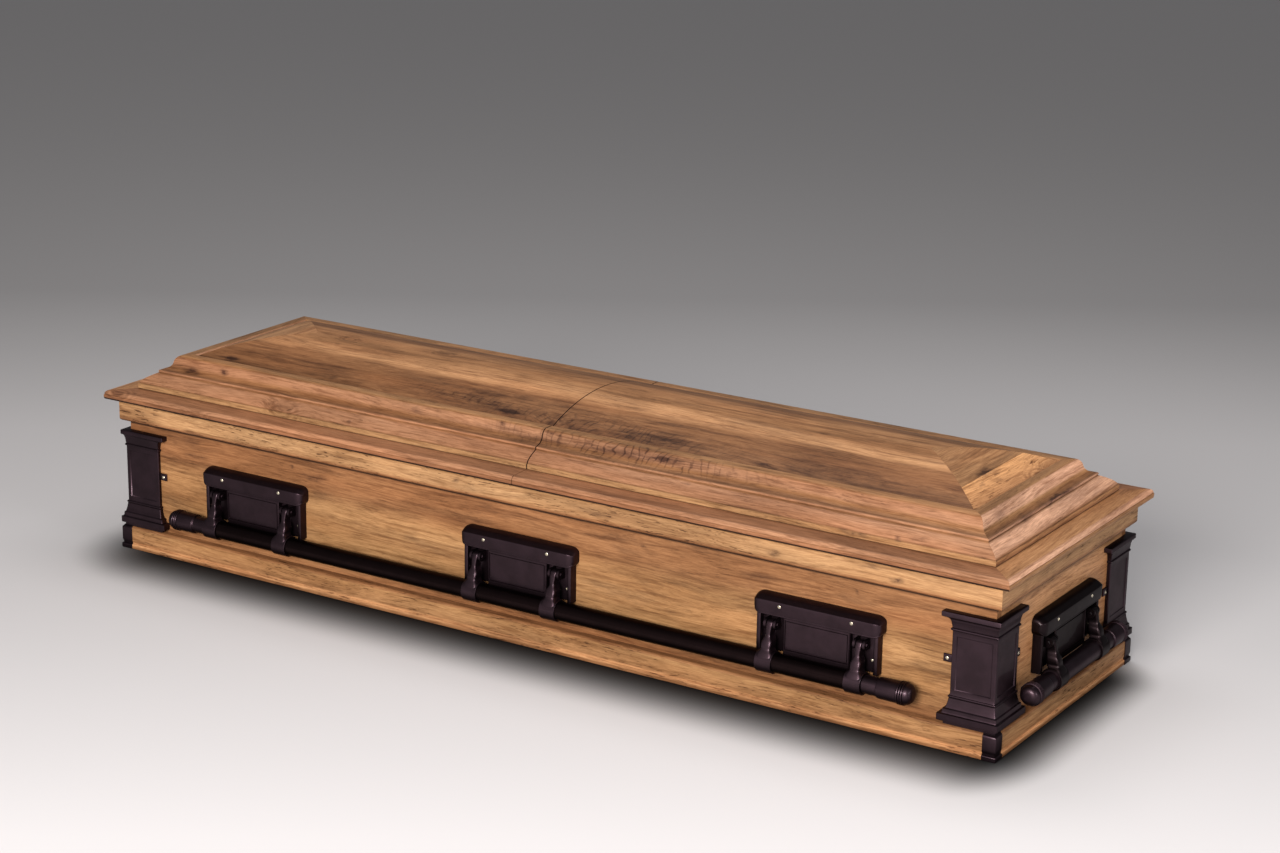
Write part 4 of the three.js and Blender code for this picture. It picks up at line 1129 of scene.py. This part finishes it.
def add_handle(side, plates):
    """Plates on the wall, and the bar, tips and arms that swing together."""
    swing = "swing_" + side
    # The end handles get a darker copy of the plum on their plates and arms, painted shade, and the plates'
    # lighter plum on their bar, a painted reflection of the pale floor
    finish, bar_finish = (PLUM, BROWN_BLACK) if side in LONG_SIDES else (PLUM_SHADED, PLUM)
    arm = 1
    for label, centre in plates:
        node = "handle_plate_" + side + label
        make("plate_" + side + label, at_side(side, shifted(plate_shells(), centre)), finish,
             stands_for=[node])
        heads = [screw_shell(s * HOOD_SCREW, HOOD_DEPTH - 0.2, HOOD_SCREW_HEIGHT) for s in (-1, 1)]
        heads += [screw_shell(s * LOW_SCREW, PAN_DEPTH, LOW_SCREW_HEIGHT, LOW_SCREW_RADIUS) for s in (-1, 1)]
        make("plate_screws_" + side + label, at_side(side, shifted(heads, centre)), NICKEL)
        for offset in (-ARM_SPREAD, ARM_SPREAD):
            make("arm_%s_%d" % (side, arm), at_side(side, shifted(arm_shells(), centre + offset)), finish,
                 body=swing, stands_for=["handle_arm_%s_%d" % (side, arm)])
            arm += 1
    last = plates[-1][1] + ARM_SPREAD + FOOT_HALF
    rod = np.array([(-last, 0), (-last, BAR_RADIUS), (last, BAR_RADIUS), (last, 0)], float)
    make("bar_" + side, at_side(side, [lathe(rod, 0, BAR_DEPTH, BAR_HEIGHT, 56)]), bar_finish,
         body=swing, stands_for=["handle_bar_" + side])
    for label, s in (("left", -1), ("right", 1)):
        tip = lathe(tip_section() * (s, 1) + (s * last, 0), 0, BAR_DEPTH, BAR_HEIGHT, 48)
        make("tip_%s_%s" % (side, label), at_side(side, [tip]), PLUM, body=swing)


finish_nodes()
add_mouldings()
add_lid()
add_domes()
add_corners()
THREE = [("_left", -PLATE_SPACING), ("_middle", 0), ("_right", PLATE_SPACING)]
add_handle("front", THREE)
add_handle("back", THREE)
add_handle("foot", [("", 0)])
add_handle("head", [("", 0)])


# Camera, floor and lights. The camera stands where the photo was taken from.
YAW, PITCH, ROLL = (math.radians(a) for a in (32.30, 16.59, 0.81))
CAMERA_PLACE = Vector((2.9869, -4.5845, 2.0096))
LENS, SENSOR = 78.70, 36

# Painted soft shadow on the floor: the rectangle where it is full, and how it ends, in metres
SHADOW_LEFT, SHADOW_RIGHT, SHADOW_FRONT, SHADOW_BACK = -0.92, 1.01, -0.2465, 0.17
SHADOW_FADE = 0.26
SHADOW_CURVE = 2.2
SHORTER = 1.65  # how much sooner it ends on the right and at the back

# Painted falloff of light on the floor: its shade by the place ahead of the camera, from FLOOR_NEAR to
# FLOOR_FAR in metres
FLOOR_NEAR, FLOOR_FAR = -2.0, 9.0
FLOOR_SHADES = [(0.0, 0.80), (0.075, 0.77), (0.11, 0.69), (0.16, 0.59), (0.185, 0.55), (0.23, 0.51),
                (0.29, 0.48), (0.36, 0.385), (0.42, 0.32), (0.55, 0.355), (0.75, 0.40), (1.0, 0.45)]
FLOOR_REACH = 40


def add_camera():
    """Camera turned by its yaw, pitch and roll."""
    back = Vector((math.sin(YAW) * math.cos(PITCH), -math.cos(YAW) * math.cos(PITCH), math.sin(PITCH)))
    right = Vector((math.cos(YAW), math.sin(YAW), 0))
    up = back.cross(right)
    c, s = math.cos(ROLL), math.sin(ROLL)
    axes = Matrix((c * right + s * up, c * up - s * right, back)).transposed()
    data = bpy.data.cameras.new("camera")
    data.lens = LENS
    data.sensor_width = SENSOR
    data.clip_end = 100
    camera = bpy.data.objects.new("camera", data)
    camera.matrix_world = Matrix.Translation(CAMERA_PLACE) @ axes.to_4x4()
    bpy.context.scene.collection.objects.link(camera)
    bpy.context.scene.camera = camera


def soft_shadow(tree, place):
    """Share of the painted soft shadow: 1 - smooth(d / fade)^curve, with d the distance outside its
    rectangle.
    """
    x, y, _ = split(tree, place)
    right = times(tree, calc(tree, "SUBTRACT", x, SHADOW_RIGHT), SHORTER)
    left = calc(tree, "SUBTRACT", SHADOW_LEFT, x)
    front = calc(tree, "SUBTRACT", SHADOW_FRONT, y)
    back = times(tree, calc(tree, "SUBTRACT", y, SHADOW_BACK), SHORTER)
    across = calc(tree, "MAXIMUM", calc(tree, "MAXIMUM", right, left), 0.0)
    deep = calc(tree, "MAXIMUM", calc(tree, "MAXIMUM", front, back), 0.0)
    away = length(tree, put(tree, "ShaderNodeCombineXYZ", {0: across, 1: deep}).outputs[0])
    lit = calc(tree, "POWER", rise(tree, away, 0.0, SHADOW_FADE), SHADOW_CURVE)
    return calc(tree, "SUBTRACT", 1.0, lit)


def add_floor():
    """Pale studio sweep that gets darker towards the back, a painted falloff of light, with a painted soft
    shadow round the box.
    """
    mesh = bpy.data.meshes.new("floor")
    corners = [(sx * FLOOR_REACH, sy * FLOOR_REACH, 0) for sx, sy in ((-1, -1), (1, -1), (1, 1), (-1, 1))]
    mesh.from_pydata(corners, [], [(0, 1, 2, 3)])
    material, tree, shader = new_material("studio_floor")
    place = put(tree, "ShaderNodeTexCoord").outputs["Object"]
    ahead = vector(tree, "DOT_PRODUCT", place, (-math.sin(YAW), math.cos(YAW), 0), "Value")
    share = put(tree, "ShaderNodeMapRange", {0: ahead, 1: FLOOR_NEAR, 2: FLOOR_FAR}).outputs[0]
    pale = ramp(tree, share, [(at, (shade, shade * 0.955, shade * 0.96, 1)) for at, shade in FLOOR_SHADES])
    # The soft shadow round the box is painted into the floor's colour
    shaded = tint(tree, pale, (soft_shadow(tree, place), (0.0, 0.0, 0.0)))
    fill(tree, shader, {"Base Color": shaded, "Roughness": 0.9, "Specular IOR Level": 0.1})
    mesh.materials.append(material)
    floor = bpy.data.objects.new("floor", mesh)
    bpy.context.scene.collection.objects.link(floor)


def add_light(name, place, aim, size, power, shade=(1, 1, 1)):
    """Soft rectangular light that faces its aim."""
    data = bpy.data.lights.new(name, "AREA")
    data.shape = "RECTANGLE"
    data.size, data.size_y = size
    data.energy = power
    data.color = shade
    light = bpy.data.objects.new(name, data)
    light.location = place
    light.rotation_euler = (Vector(aim) - Vector(place)).to_track_quat("-Z", "Y").to_euler()
    bpy.context.scene.collection.objects.link(light)


def add_world():
    """Weak even light from all round."""
    world = bpy.data.worlds.new("studio")
    world.use_nodes = True
    back = world.node_tree.nodes["Background"]
    fill(world.node_tree, back, {"Color": (0.9, 0.92, 0.95, 1), "Strength": 0.22})
    bpy.context.scene.world = world


add_camera()
add_floor()
add_light("key", (2.2, -8.75, 3.5), (0.0, 0.0, 0.25), (4.4, 2.6), 1470, (1.0, 0.98, 0.95))
add_light("top", (-0.2, 1.0, 3.4), (0.1, 0.0, 0.2), (3.2, 1.8), 50)
add_light("side", (5.6, -1.4, 1.6), (1.0, 0.0, 0.2), (1.6, 1.2), 75)
add_world()
bpy.context.scene.view_settings.view_transform = "Standard"
bpy.context.scene.view_settings.look = "None"
